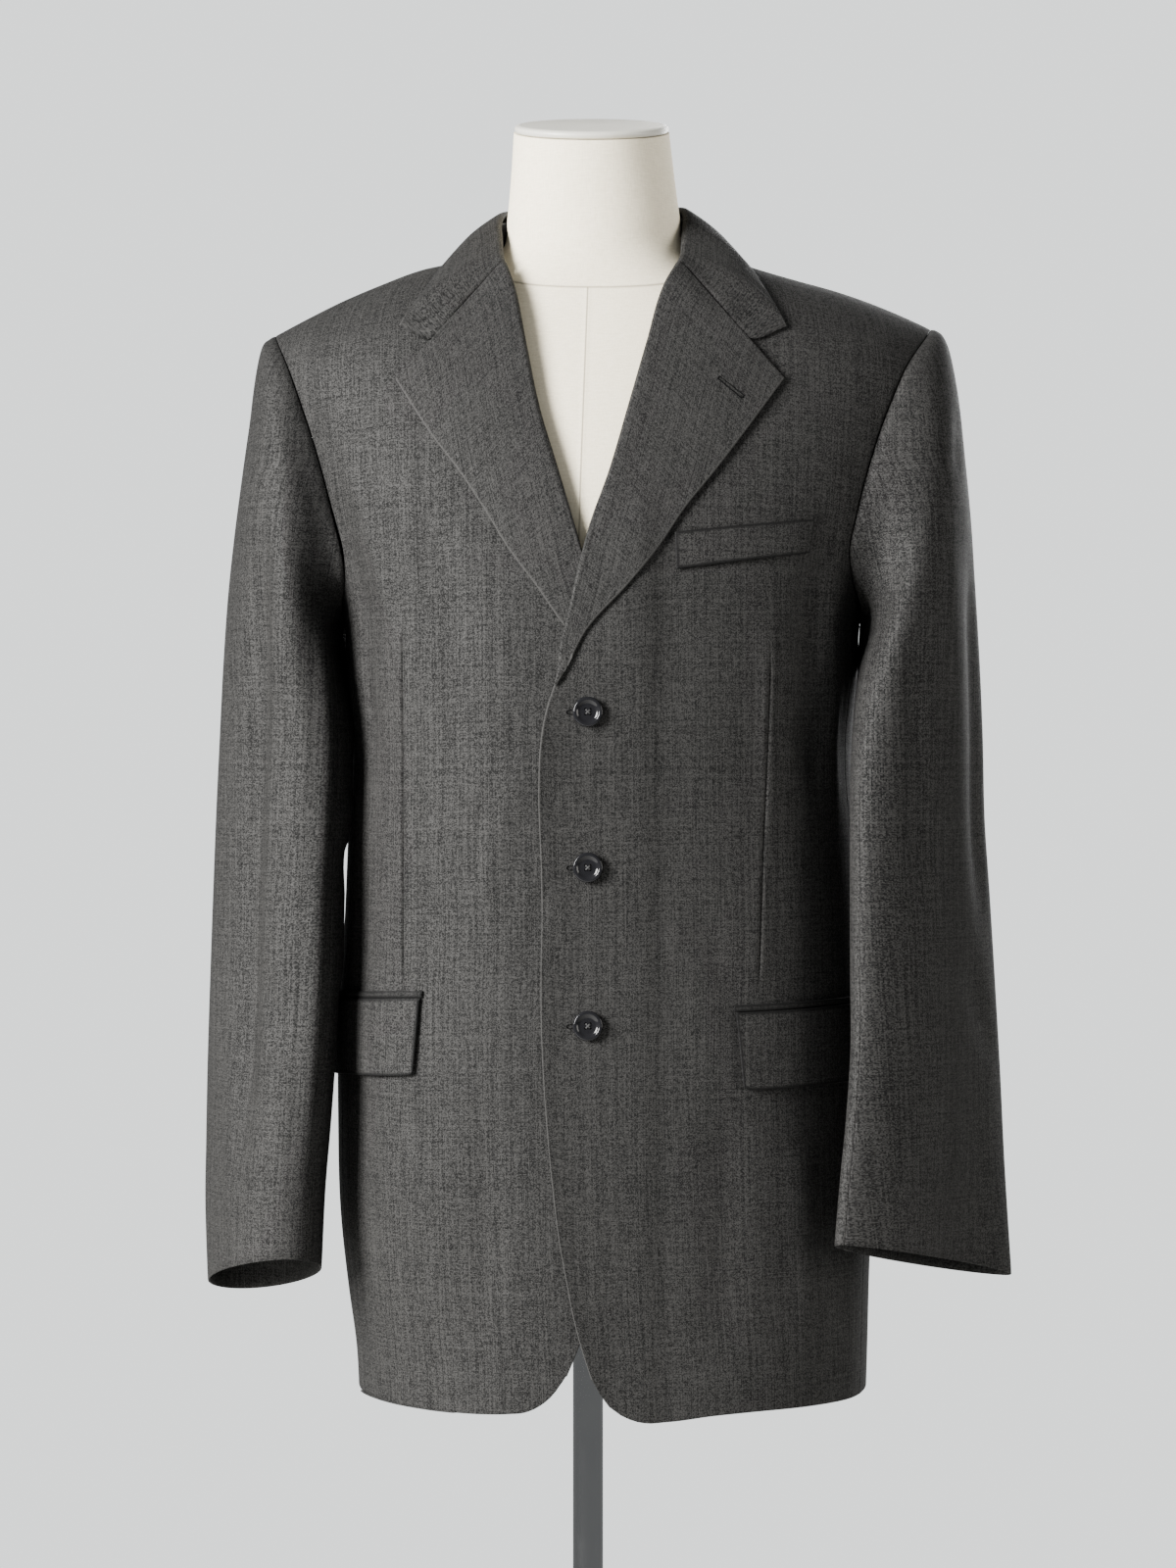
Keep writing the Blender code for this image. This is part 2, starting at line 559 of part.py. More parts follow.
def shift_turn(edge, distance):
    """Edge moved along the rings by a distance."""
    reach = np.linalg.norm(body_point(edge[:, 0], edge[:, 1])[:, :2], axis=1)
    moved = edge.copy()
    moved[:, 0] += distance / reach
    return moved


def front_raise(x, z):
    """How far the over front stands off where it lies on the under front and its lapel."""
    overlap = smooth_step((0.052 - x) / 0.018) * smooth_step((1.345 - z) / 0.055)
    near_crossing = np.exp(-((z - 1.242) / 0.047) ** 4) * smooth_step((0.062 - x) / 0.035)
    return 0.0024 * overlap + 0.0034 * near_crossing


def front_panel(side, group):
    """Front of one side, from its edge and roll line to the side seam and the armhole."""
    over = side == WEARERS_LEFT
    low_rows = 15
    seam = shift_turn(side_edge(side, low_rows, -1), -side * SEAM / 2)
    across = np.array([0, 0.035, 0.08, 0.125, 0.17, 0.225, 0.30, 0.39, 0.48, 0.57, 0.66, 0.75,
                       0.84, 0.92, 1.0])
    up = (seam[:, 1] - seam[0, 1]) / (seam[-1, 1] - seam[0, 1])
    name = "over" if over else "under"
    heights = FRONT_EDGE[0].z + up * (FRONT_EDGE[-1].z - FRONT_EDGE[0].z)
    edge_x = column(FRONT_EDGE, name, heights)
    edge = np.stack([turn_at(edge_x, heights), heights], axis=-1)
    hem_turn = edge[0, 0] + across * (seam[0, 0] - edge[0, 0])
    hem_x = body_point(hem_turn, HEM)[:, 0]
    hem_z = column(HEM_OVER if over else HEM_UNDER, "z", np.abs(hem_x), by="x")
    hem = np.stack([hem_turn, hem_z], axis=-1)
    seam_x = column(FRONT_EDGE, name, FRONT_EDGE[-1].z)
    end_x = body_point(seam[-1, 0], seam[-1, 1])[0]
    shoulder_x = seam_x + across * (end_x - seam_x)
    shoulder_z = shoulder_height(shoulder_x)
    shoulder = np.stack([turn_at(shoulder_x, shoulder_z), shoulder_z], axis=-1)
    edge[-1] = shoulder[0]
    seam[-1] = shoulder[-1]
    seam[0] = hem[-1]
    grid = patch(edge, seam, hem, shoulder, across, up)
    turn, z = grid[..., 0], grid[..., 1]
    lift = front_raise(body_point(turn, z)[..., 0], z) if over else 0.0
    body_shell("front_" + name, turn, z, lift, group, side < 0, seam_shift=-SEAM / 2)


def side_panel(side, group):
    """Side body between the front and the back, with the underlap of the vent."""
    low_rows = 15
    front = shift_turn(side_edge(side, low_rows, -1), side * SEAM / 2)[:low_rows + 1]
    back = shift_turn(side_edge(side, low_rows, 1), -side * SEAM / 2)[:low_rows + 1]
    angles = np.radians([-154, -167, 180, 167, 154])
    turns, heights = armhole(side, angles)
    top = np.stack([turns, heights - SEAM], axis=-1)
    top[0] = front[-1]
    top[-1] = back[-1]
    across = (top[:, 0] - top[0, 0]) / (top[-1, 0] - top[0, 0])
    bottom = front[0] + across[:, None] * (back[0] - front[0])
    up = (front[:, 1] - front[0, 1]) / (front[-1, 1] - front[0, 1])
    grid = patch(front, back, bottom, top, across, up)
    body_shell(f"side_{side_name(side)}", grid[..., 0], grid[..., 1], 0.0, group, side < 0)


def back_lift(side, turn, z):
    """How far the back stands out beside the open vent."""
    reach = 0.0080 if side == WEARERS_LEFT else 0.0050
    down = smooth_step((VENT_TOP - z) / (VENT_TOP - HEM))
    away = (np.abs(turn) - math.radians(104)) / math.radians(26)
    return reach * down * np.exp(-away ** 2)


def back_panel(side, group):
    """One half of the back, from the side seam and the armhole to the centre back seam."""
    low_rows = 15
    seam = shift_turn(side_edge(side, low_rows, 1), side * SEAM / 2)
    up = (seam[:, 1] - seam[0, 1]) / (seam[-1, 1] - seam[0, 1])
    across = np.array([0, 0.06, 0.13, 0.22, 0.33, 0.45, 0.58, 0.71, 0.82, 0.87, 0.91, 0.955, 1.0])
    middle_turn = side * (math.pi - SEAM / 2 / 0.12)
    middle = np.stack([np.full(len(up), middle_turn), HEM + up * (NECK_BACK - HEM)], axis=-1)
    end_x = body_point(seam[-1, 0], seam[-1, 1])[0]
    neck_x = column(FRONT_EDGE, "over" if side > 0 else "under", FRONT_EDGE[-1].z)
    top = []
    neck_column = 8
    for place, part in enumerate(across):
        if place <= neck_column:
            x = end_x + part / across[neck_column] * (neck_x - end_x)
            z = shoulder_height(x)
        else:
            rest = (part - across[neck_column]) / (1 - across[neck_column])
            x = neck_x * (1 - rest)
            z = back_neckline(neck_x, x)
        top.append((float(turn_at(x, z, back=True)), float(z)))
    top = np.array(top)
    top[-1] = middle[-1]
    top[0, 0] = seam[-1, 0]
    seam[-1] = top[0]
    bottom = seam[0] + across[:, None] * (middle[0] - seam[0])
    grid = patch(seam, middle, bottom, top, across, up)
    turn, z = grid[..., 0], grid[..., 1]
    lift = back_lift(side, turn, z)
    body_shell(f"back_{side_name(side)}", turn, z, lift, group, side < 0, BACK_CLOTH,
               seam_shift=SEAM / 2)


def side_name(side):
    """Wearer's name of a side."""
    return "left" if side == WEARERS_LEFT else "right"


# ---------------------------------------------------------------- lapels and collar
def turned_row(over, start, end, corner=None):
    """Row of points across a turned-over piece, from inside its fold to its free edge.

    start and end are (across, height) on the front; with a corner, the row runs from the
    start to the corner and then to the end.
    """
    start, end = np.array(start), np.array(end)
    knee = end if corner is None else np.array(corner)
    width = np.linalg.norm(knee - start)
    foot = float(smooth_step((start[1] - LAPEL_RISES[0]) / (LAPEL_RISES[1] - LAPEL_RISES[0])))
    hook = float(smooth_step((start[1] - ROLL_FOOT) / LAPEL_HOOKS))
    reaches = [hook * reach + (1 - hook) * flat for reach, flat in zip(FOLD_REACH, FLAT_REACH)]
    first = reaches[-1] / width
    places = [(start + (knee - start) * reach / width,
               hook * height + (1 - hook) * LAPEL_FOOT_HEIGHT)
              for reach, height in zip(reaches, FOLD_HEIGHT)]
    for part in FALL_PARTS:
        if corner is None:
            place = start + (end - start) * (first + part * (1 - first))
        elif part < 1:
            place = start + (knee - start) * (first + part / FALL_PARTS[-2] * (1 - first))
        else:
            place = end
        places.append((place, LAPEL_ROLL_HEIGHT + part * (LAPEL_EDGE_HEIGHT - LAPEL_ROLL_HEIGHT)))
    row = []
    for (x, z), height in places:
        if height > LAPEL_FOOT_HEIGHT:
            height = LAPEL_FOOT_HEIGHT + foot * (height - LAPEL_FOOT_HEIGHT)
        if over:
            height = height + float(front_raise(x, z))
        row.append(cloth_point(turn_at(x, z), z, height))
    return np.array(row)


def lapel(side, group):
    """Lapel turned over on the roll line, lying on its own front."""
    over = side == WEARERS_LEFT
    name = "over" if over else "under"
    up = np.array([0, 0.03, 0.08, 0.15, 0.23, 0.32, 0.42, 0.52, 0.62, 0.72, 0.82, 0.91, 1.0])
    cut = 0.0 if over else UNDER_LAPEL_STARTS
    roll_foot = ROLL_FOOT + cut
    edge_foot = LAPEL_EDGE[0].z + cut
    roll_z = roll_foot + up * (ROLL_HEAD - roll_foot)
    roll_x = column(FRONT_EDGE, name, roll_z)
    edge_z = edge_foot + up * (LAPEL_EDGE[-1].z - edge_foot)
    edge_x = column(LAPEL_EDGE, name, edge_z)
    points = [turned_row(over, (roll_x[place], roll_z[place]), (edge_x[place], edge_z[place]))
              for place in range(len(up))]
    cloth_wall("lapel_" + name, np.array(points), group, flip=side < 0)


def gorge_row(side, rows):
    """Front end of the collar: along the gorge to the notch, then out to its own point."""
    over = side == WEARERS_LEFT
    name = "over" if over else "under"
    start = np.array((column(FRONT_EDGE, name, ROLL_HEAD), ROLL_HEAD))
    point = np.array((getattr(LAPEL_EDGE[-1], name), LAPEL_EDGE[-1].z))
    along = (point - start) / np.linalg.norm(point - start)
    above = np.array((-along[1], along[0])) * side
    gap = above * (SEAM + 0.0005)
    notch = start + (point - start) * NOTCH + gap
    return turned_row(over, start + gap, (rows[0].leaf_x, rows[0].leaf_z), notch)


def collar_fold(rows, part):
    """Point of the collar's fold line."""
    return np.array([float(column(rows, key, part, by="part"))
                     for key in ("fold_x", "fold_y", "fold_z")])


def collar_leaf(rows, part):
    """Point of the collar's free edge, lying on the coat."""
    x = float(column(rows, "leaf_x", part, by="part"))
    z = float(column(rows, "leaf_z", part, by="part"))
    z = min(z, float(shoulder_height(x)) - 0.0004)
    turn = float(turn_at(x, z, back=part > 0.46))
    return body_point(turn, z) + body_normal(turn, z) * LAPEL_EDGE_HEIGHT


def fall_row(rows, part):
    """Row of points across the collar's fall, from inside its fold to its leaf."""
    fold, leaf = collar_fold(rows, part), collar_leaf(rows, part)
    down = (leaf - fold) / np.linalg.norm(leaf - fold)
    outward = np.array([fold[0], fold[1] - RIDGE, 0.0])
    outward = outward / np.linalg.norm(outward) + np.array([0.0, 0.0, 0.8])
    out = outward - down * outward.dot(down)
    out = out / np.linalg.norm(out)
    row = [fold + down * reach + out * height for reach, height in zip(FOLD_REACH, FOLD_HEIGHT)]
    start = row[-1]
    for fall in FALL_PARTS:
        crown = 0.0030 * math.sin(math.pi * fall)
        row.append(start + (leaf - start) * fall + out * crown)
    return np.array(row)


def collar(group):
    """Fall and stand of the collar, from one gorge round the neck to the other."""
    halves = ((WEARERS_RIGHT, COLLAR_RIGHT), (WEARERS_LEFT, COLLAR_LEFT))
    fall = []
    stand_rows = []
    for side, rows in halves:
        half = [gorge_row(side, rows)]
        half += [fall_row(rows, part) for part in COLLAR_PARTS[1:]]
        upright = [stand_row(side, rows, part) for part in STAND_PARTS]
        if side == WEARERS_LEFT:
            half = half[::-1][1:]
            upright = upright[::-1][1:]
        fall += half
        stand_rows += upright
    cloth_wall("collar_fall", np.array(fall), group, flip=True)
    cloth_wall("collar_stand", np.array(stand_rows), group, flip=True)


def stand_row(side, rows, part):
    """Row of points down the outer face of the collar's stand, from its fold to the seam."""
    top = collar_fold(rows, part)
    name = "over" if side == WEARERS_LEFT else "under"
    neck_x = float(column(FRONT_EDGE, name, FRONT_EDGE[-1].z))
    shoulder = 0.46
    if part >= shoulder:
        rest = (part - shoulder) / (1 - shoulder)
        x = neck_x * math.cos(rest * math.pi / 2)
        z = back_neckline(neck_x, x)
        low = body_point(turn_at(x, z, back=True), z)
    else:
        z = ROLL_HEAD + (FRONT_EDGE[-1].z - ROLL_HEAD) * part / shoulder
        x = float(column(FRONT_EDGE, name, z))
        low = body_point(turn_at(x, z), z)
    inward = np.array([-low[0], RIDGE - low[1], 0.0])
    inward = inward / np.linalg.norm(inward)
    low = low + inward * 0.0020 + np.array([0.0, 0.0, 0.0026])
    return np.array([top + (low - top) * place for place in (0.19, 0.58, 1.0)])


def back_neckline(neck_x, x):
    """Height of the back neckline at a place between the neck point and the centre."""
    rest = abs(x / neck_x)
    return NECK_BACK + (float(shoulder_height(neck_x)) - NECK_BACK) * rest ** 2.2


# ---------------------------------------------------------------- pockets and buttons
def laid_piece(name, side, edges, height, wall, group):
    """Piece that lies on the coat: edges are rows of (turn, height), bottom row first."""
    grid = np.array(edges)
    x = body_point(grid[..., 0], grid[..., 1])[..., 0]
    raise_by = front_raise(x, grid[..., 1]) if side == WEARERS_LEFT else 0.0
    body_shell(name, grid[..., 0], grid[..., 1], height + raise_by, group, side < 0, wall)


def hip_pocket(row, group):
    """Flap and jet of one hip pocket."""
    across = np.array([0, 0.03, 0.09, 0.22, 0.38, 0.54, 0.70, 0.85, 1.0])
    corner = np.array([0.0036, 0.0010, 0, 0, 0, 0, 0, 0, 0])
    back_turn = row.side * math.radians(POCKET_BACK_TURN)
    rows = []
    for up in (0.0, 0.07, 0.4, 0.7, 1.0):
        start_x = row.side * (row.front_x + row.lean * (1 - up) + (0.0010 if up == 0 else 0))
        front = row.low_front + up * (row.top_front - row.low_front)
        back = row.low_back + up * (row.top_back - row.low_back)
        z = front + across * (back - front) + (corner if up == 0 else 0.0)
        start = float(turn_at(start_x, front))
        rows.append(np.stack([start + across * (back_turn - start), z], axis=-1))
    heights = np.array([0.0039, 0.0038, 0.0036, 0.0034, 0.0033])[:, None]
    name = side_name(row.side)
    laid_piece("pocket_flap_" + name, row.side, rows, heights, FLAP_WALL, group)
    rows = []
    for rise in (SEAM, SEAM + JET_HEIGHT):
        z = row.top_front + across * (row.top_back - row.top_front) + rise
        start = float(turn_at(row.side * (row.front_x - 0.0012), z[0]))
        rows.append(np.stack([start + across * (back_turn - start), z], axis=-1))
    laid_piece("pocket_jet_" + name, row.side, rows, 0.0025, JET_WALL, group)


def breast_welt(group):
    """Breast welt of the wearer's left front."""
    across = np.linspace(0, 1, 6)
    rows = []
    for up in (0.0, 0.5, 1.0):
        ends = np.array(WELT_LOW) + up * (np.array(WELT_TOP) - np.array(WELT_LOW))
        z = ends[0, 1] + across * (ends[1, 1] - ends[0, 1])
        x = ends[0, 0] + across * (ends[1, 0] - ends[0, 0])
        rows.append(np.stack([turn_at(x, z), z], axis=-1))
    laid_piece("breast_welt", WEARERS_LEFT, rows, 0.0028, FLAP_WALL, group)


def button(number, height, group, cutters):
    """Four-hole button with a raised rim, lying on the over front."""
    radius = BUTTON_DIAMETER / 2
    profile = ((0, 0.0019), (0.0058, 0.0019), (0.0068, 0.0026), (0.0080, 0.0034),
               (0.0092, 0.0033), (radius, 0.0022), (radius - 0.0003, 0.0011),
               (0.0080, 0.0003), (0.0060, 0), (0, 0))
    name = f"button_{number}"
    piece = turned(name, profile, HORN, group, steps=24)
    turn = float(turn_at(0.0, height))
    normal = Vector(body_normal(turn, height))
    place = Vector(cloth_point(turn, height, front_raise(0.0, height) + BUTTON_GAP))
    matrix = Matrix.Translation(place) @ normal.to_track_quat("Z", "Y").to_matrix().to_4x4()
    piece.matrix_world = matrix
    holes = bmesh.new()
    for across, along in ((-1, -1), (-1, 1), (1, -1), (1, 1)):
        spot = Matrix.Translation((across * 0.0015, along * 0.0015, 0.001))
        bmesh.ops.create_cone(holes, cap_ends=True, segments=8, radius1=0.0008,
                              radius2=0.0008, depth=0.006, matrix=spot)
    mesh = bpy.data.meshes.new(name + "_holes")
    holes.to_mesh(mesh)
    holes.free()
    cutter = bpy.data.objects.new(name + "_holes", mesh)
    cutter.matrix_world = matrix
    cutter.hide_render = True
    cutter.display_type = "WIRE"
    cutters.objects.link(cutter)
    cut = piece.modifiers.new("Holes", "BOOLEAN")
    cut.operation = "DIFFERENCE"
    cut.solver = "EXACT"
    cut.object = cutter


# ---------------------------------------------------------------- sleeves
def sleeve_rings(side, angles):
    """Rings of a sleeve from the armhole to the cuff, one row of points for each."""
    rows = SLEEVE_LEFT if side == WEARERS_LEFT else SLEEVE_RIGHT
    wrapped = np.mod(angles + math.pi, 2 * math.pi) - math.pi
    seam = body_point(*armhole(side, wrapped))
    rings = []
    for number, row in enumerate(rows):
        across = np.cos(angles)
        deep = np.sin(angles + math.radians(row.slant))
        x = side * ((row.out_x + row.in_x) / 2 + (row.out_x - row.in_x) / 2 * across)
        y = row.mid_y + row.half_y * deep
        z = (row.out_z + row.in_z) / 2 + (row.out_z - row.in_z) / 2 * across
        z = z - (y - row.mid_y) * math.tan(math.radians(row.pitch))
        points = np.stack([x, y, z], axis=-1)
        if number == 0:
            first = points
        stay = 1 - smooth_step(number / HEAD_RINGS)
        rings.append(points + (seam - first) * stay)
    rings = np.array(rings)
    rings[0, :, 0] += side * HEAD_GAP
    return clear_of_body(rings)


def sleeve_normals(side, angles):
    """Outward direction of the sleeve's surface at every ring and angle."""
    small = 0.02
    around = sleeve_rings(side, angles + small) - sleeve_rings(side, angles - small)
    down = np.gradient(sleeve_rings(side, angles), axis=0)
    out = np.cross(down, around) * side
    return out / np.linalg.norm(out, axis=-1, keepdims=True)


def clear_of_body(points):
    """Points below the underarm, moved out to where they clear the body of the coat."""
    z = points[..., 2]
    middle, half = ring(z)
    depth = np.where(points[..., 1] < 0, column(BODY, "front", z), column(BODY, "back", z))
    room = SLEEVE_CLEAR * smooth_step((UNDERARM - 0.001 - z) / 0.012)
    wide = (points[..., 0] - middle) / (half + room)
    deep = points[..., 1] / (depth + room)
    reach = (np.abs(wide) ** SQUARENESS + np.abs(deep) ** SQUARENESS) ** (1 / SQUARENESS)
    grow = np.where((reach < 1) & (z < UNDERARM - 0.001), 1 / reach, 1.0)
    moved = points.copy()
    moved[..., 0] = middle + (points[..., 0] - middle) * grow
    moved[..., 1] = points[..., 1] * grow
    return moved


def sleeve(side, group):
    """Upper and under sleeve, joined at the front seam and the back seam."""
    loop =[angle for angle in LOOP_ANGLES if angle <= SIDE_SEAM]
    upper = [-angle for angle in reversed(loop)] + [a for a in LOOP_ANGLES[1:] if a <= BACK_SEAM]
    under = [a for a in LOOP_ANGLES if a >= BACK_SEAM] + [193, 206]
    for name, degrees in (("sleeve_upper_", upper), ("sleeve_under_", under)):
        angles = np.radians(np.array(degrees, dtype=float))
        angles[0] += SLEEVE_SEAM_TURN
        angles[-1] -= SLEEVE_SEAM_TURN
        outer = sleeve_rings(side, angles)[::-1]
        inner = outer - sleeve_normals(side, angles)[::-1] * CLOTH
        cloth_shell(name + side_name(side), outer, inner, group, flip=side < 0)


# ---------------------------------------------------------------- dress form and stand
def dress_form(group):
    """Torso and neck as one smooth closed solid."""
    steps = 28
    around = np.linspace(0, 2 * math.pi, steps, endpoint=False)
    points = []
    for row in FORM:
        neck = smooth_step((row.z - 1.47) / 0.04)
        power = 2 / (FORM_SQUARENESS + neck * (NECK_SQUARENESS - FORM_SQUARENESS))
        x = row.x + row.half * signed_power(np.sin(around), power)
        depth = np.where(np.cos(around) > 0, row.front, row.back)
        y = -depth * signed_power(np.cos(around), power)
        z = row.z + y * math.tan(math.radians(row.tilt))
        points.append(np.stack([x, y, z], axis=-1))
    mesh = grid_mesh("dress_form", np.array(points), closed=True)
    ends = bmesh.new()
    ends.from_mesh(mesh)
    bmesh.ops.holes_fill(ends, edges=[edge for edge in ends.edges if edge.is_boundary])
    bmesh.ops.recalc_face_normals(ends, faces=ends.faces)
    ends.to_mesh(mesh)
    ends.free()
    new_object("dress_form", mesh, LINEN, group)


def turned(name, profile, finish, group, steps=32):
    """Turned piece: its profile goes down its outer side from the axis back to the axis."""
    mesh = bpy.data.meshes.new(name)
    line = bmesh.new()
    corners = [line.verts.new((radius, 0.0, z)) for radius, z in profile]
    for above, below in zip(corners, corners[1:]):
        line.edges.new((above, below))
    line.to_mesh(mesh)
    line.free()
    thing = new_object(name, mesh, finish, group)
    screw = thing.modifiers.new("Turn", "SCREW")
    screw.steps = steps
    screw.render_steps = steps
    screw.use_merge_vertices = True
    screw.merge_threshold = 0.00001
    return thing


def neck_cap(group):
    """Thin cap on the neck, tipped forward with it."""
    radius = CAP_DIAMETER / 2
    profile = ((0, 0.0058), (radius - 0.003, 0.0054), (radius - 0.0008, 0.0046),
               (radius, 0.0030), (radius - 0.0006, 0.0008), (radius - 0.002, 0), (0, 0))
    cap = turned("neck_cap", profile, CAP_PAINT, group, steps=36)
    top = FORM[-1]
    middle_y = (top.back - top.front) / 2
    height = top.z + middle_y * math.tan(NECK_TILT) + SEAM
    cap.location = (top.x, middle_y, height)
    cap.rotation_euler = (NECK_TILT, 0, 0)


def stand(group):
    """Pole and round base."""
    radius = BASE_DIAMETER / 2
    hub = POLE_DIAMETER / 2 + 0.010
    profile = ((0, 0.034), (hub - 0.002, 0.034), (hub, 0.032), (hub, 0.014),
               (hub + 0.006, 0.009), (radius - 0.004, BASE_THICKNESS), (radius - 0.001, 0.006),
               (radius, 0.003), (radius - 0.001, 0), (0, 0))
    turned("base", profile, STEEL, group, steps=48)
    bottom = 0.034 + SEAM
    length = FORM[0].z - SEAM - bottom
    bpy.ops.mesh.primitive_cylinder_add(vertices=24, radius=POLE_DIAMETER / 2, depth=length,
                                        location=(0, 0, bottom + length / 2))
    pole = bpy.context.active_object
    mesh = pole.data
    place = pole.matrix_world.copy()
    bpy.data.objects.remove(pole)
    mesh.name = "pole"
    new_object("pole", mesh, STEEL, group).matrix_world = place


# ---------------------------------------------------------------- whole part
def new_group(name):
    """New collection in the scene."""
    group = bpy.data.collections.new(name)
    bpy.context.scene.collection.children.link(group)
    return group


def main():
    """Build every piece."""
    for thing in list(bpy.data.objects):
        bpy.data.objects.remove(thing, do_unlink=True)
    group = new_group("single_breasted_blazer")
    cutters = new_group("cutters")
    for side in (WEARERS_LEFT, WEARERS_RIGHT):
        front_panel(side, group)
        side_panel(side, group)
        back_panel(side, group)
        lapel(side, group)
        sleeve(side, group)
    collar(group)
    for row in POCKETS:
        hip_pocket(row, group)
    breast_welt(group)
    for number, height in enumerate(BUTTON_HEIGHTS, start=1):
        button(number, height, group, cutters)
    dress_form(group)
    neck_cap(group)
    stand(group)


main()
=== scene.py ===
"""Single breasted blazer, buttoned on a limbless dress form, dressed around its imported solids.

Metres, +Z up, the front faces -Y and the wearer's left is at +X. The cloth is cut from one
worn body surface, given by a turn about the body (0 at the middle of the front, positive
towards +X, pi at the middle of the back) and a height. Each sub-assembly is a class that
builds its meshes and dresses them.
"""

import logging
import math
from dataclasses import dataclass, field
from enum import Enum
from typing import Callable, NamedTuple, Optional, Sequence

import bmesh
import bpy
import numpy as np
from mathutils import Matrix, Vector

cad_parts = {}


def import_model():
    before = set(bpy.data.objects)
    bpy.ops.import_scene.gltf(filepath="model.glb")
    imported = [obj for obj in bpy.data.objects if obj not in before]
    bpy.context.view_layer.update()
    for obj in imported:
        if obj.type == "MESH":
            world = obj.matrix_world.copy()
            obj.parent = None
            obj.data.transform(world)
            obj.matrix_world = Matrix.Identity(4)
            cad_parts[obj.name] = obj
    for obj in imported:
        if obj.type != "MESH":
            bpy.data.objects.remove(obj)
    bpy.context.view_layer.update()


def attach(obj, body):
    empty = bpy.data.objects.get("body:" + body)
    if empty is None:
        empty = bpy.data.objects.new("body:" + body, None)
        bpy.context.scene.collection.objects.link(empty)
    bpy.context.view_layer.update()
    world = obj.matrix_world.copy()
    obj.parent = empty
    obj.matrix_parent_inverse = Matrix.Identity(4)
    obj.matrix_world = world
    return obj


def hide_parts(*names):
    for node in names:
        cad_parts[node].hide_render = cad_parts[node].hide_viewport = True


LOG = logging.getLogger("blazer")

# ---------------------------------------------------------------- driving sizes
CLOTH = 0.0016            # wall of a panel: worsted, canvas and lining together
SEAM = 0.0003             # gap between two pieces at most seams
SQUARENESS = 2.4          # exponent of the rounded rings of the worn body
UNDERARM = 1.250          # height of the bottom of both armholes
HEM = 0.7115              # height of the hem at the sides and the back
NECK_BACK = 1.5035        # height of the back neckline on the centre back seam
VENT_TOP = 0.935          # height where both side vents start
RIDGE = 0.008             # the shoulder seams lie this far behind the pole's axis
CAP = 0.060               # height over which the shoulder turns from front to back
RIDGE_BLEND = 0.0020      # height below a shoulder seam where the walls stop leaning
SIDE_SEAM = 154.0         # place of the side seams on the armhole, degrees from its top
BACK_SEAM = 70.0          # place of the sleeve's back seam, degrees from its top
BUTTON_HEIGHTS = (1.1788, 1.0758, 0.9710)
POLE_DIAMETER = 0.0212
BASE_DIAMETER = 0.360
EDGE_ROLL = 0.0009        # distance over which a finished cloth edge rounds off
SEAM_REACH = 0.0010       # distance from a seam over which the cloth dips into it
SEAM_DIP = 0.0003         # depth of that dip
EDGE_STEPS = (0.00018, 0.00045, 0.0009, 0.0018)  # distances from an edge of its extra points
LEAST_STEP = 0.00008      # least distance between two points across a piece
FADE_LENGTH = 0.30        # part of a crease's length over which each of its ends fades
FADE_START = 0.15         # how far into that fade a crease already is at its ends
ROOT = "root"

Colour = tuple[float, float, float, float]


class Side(Enum):
    """Side of the wearer; its value is the sign of X."""

    LEFT = 1
    RIGHT = -1

    @property
    def word(self) -> str:
        """Wearer's name of the side."""
        return self.name.lower()

    @property
    def front(self) -> str:
        """Name of the front on this side: the left one lies over the right one."""
        return "over" if self is Side.LEFT else "under"


class BodyRow(NamedTuple):
    """Ring of the worn body: how far it reaches to each side of the pole's axis."""

    z: float
    left: float
    right: float
    front: float
    back: float


class ShoulderRow(NamedTuple):
    """Height of both shoulder lines at a distance from the centre."""

    x: float
    left: float
    right: float


class ArmholeRow(NamedTuple):
    """How far the armhole seams scoop in at a part of their height, in degrees of turn."""

    part: float
    right: float
    left: float
    back: float


class EdgeRow(NamedTuple):
    """Place across of the edge of each front at a height."""

    z: float
    over: float
    under: float


class HemRow(NamedTuple):
    """Height of a hem at a distance from the centre."""

    x: float
    z: float


class Crease(NamedTuple):
    """Soft trough (negative depth) or ridge between two places on a surface.

    turn values are in degrees about the piece's axis, heights and sizes in metres.
    """

    turn: float
    z: float
    end_turn: float
    end_z: float
    width: float
    depth: float


class FoldRow(NamedTuple):
    """Broad soft fold: where its middle lies, its reach and its depth."""

    turn: float
    z: float
    wide: float
    tall: float
    depth: float


class LapelRow(NamedTuple):
    """Place across of each lapel's free edge at a height."""

    z: float
    over: float
    under: float


class CollarRow(NamedTuple):
    """Collar at a part of its way round: its fold line and its free edge."""

    part: float
    fold_x: float
    fold_y: float
    fold_z: float
    leaf_x: float
    leaf_z: float


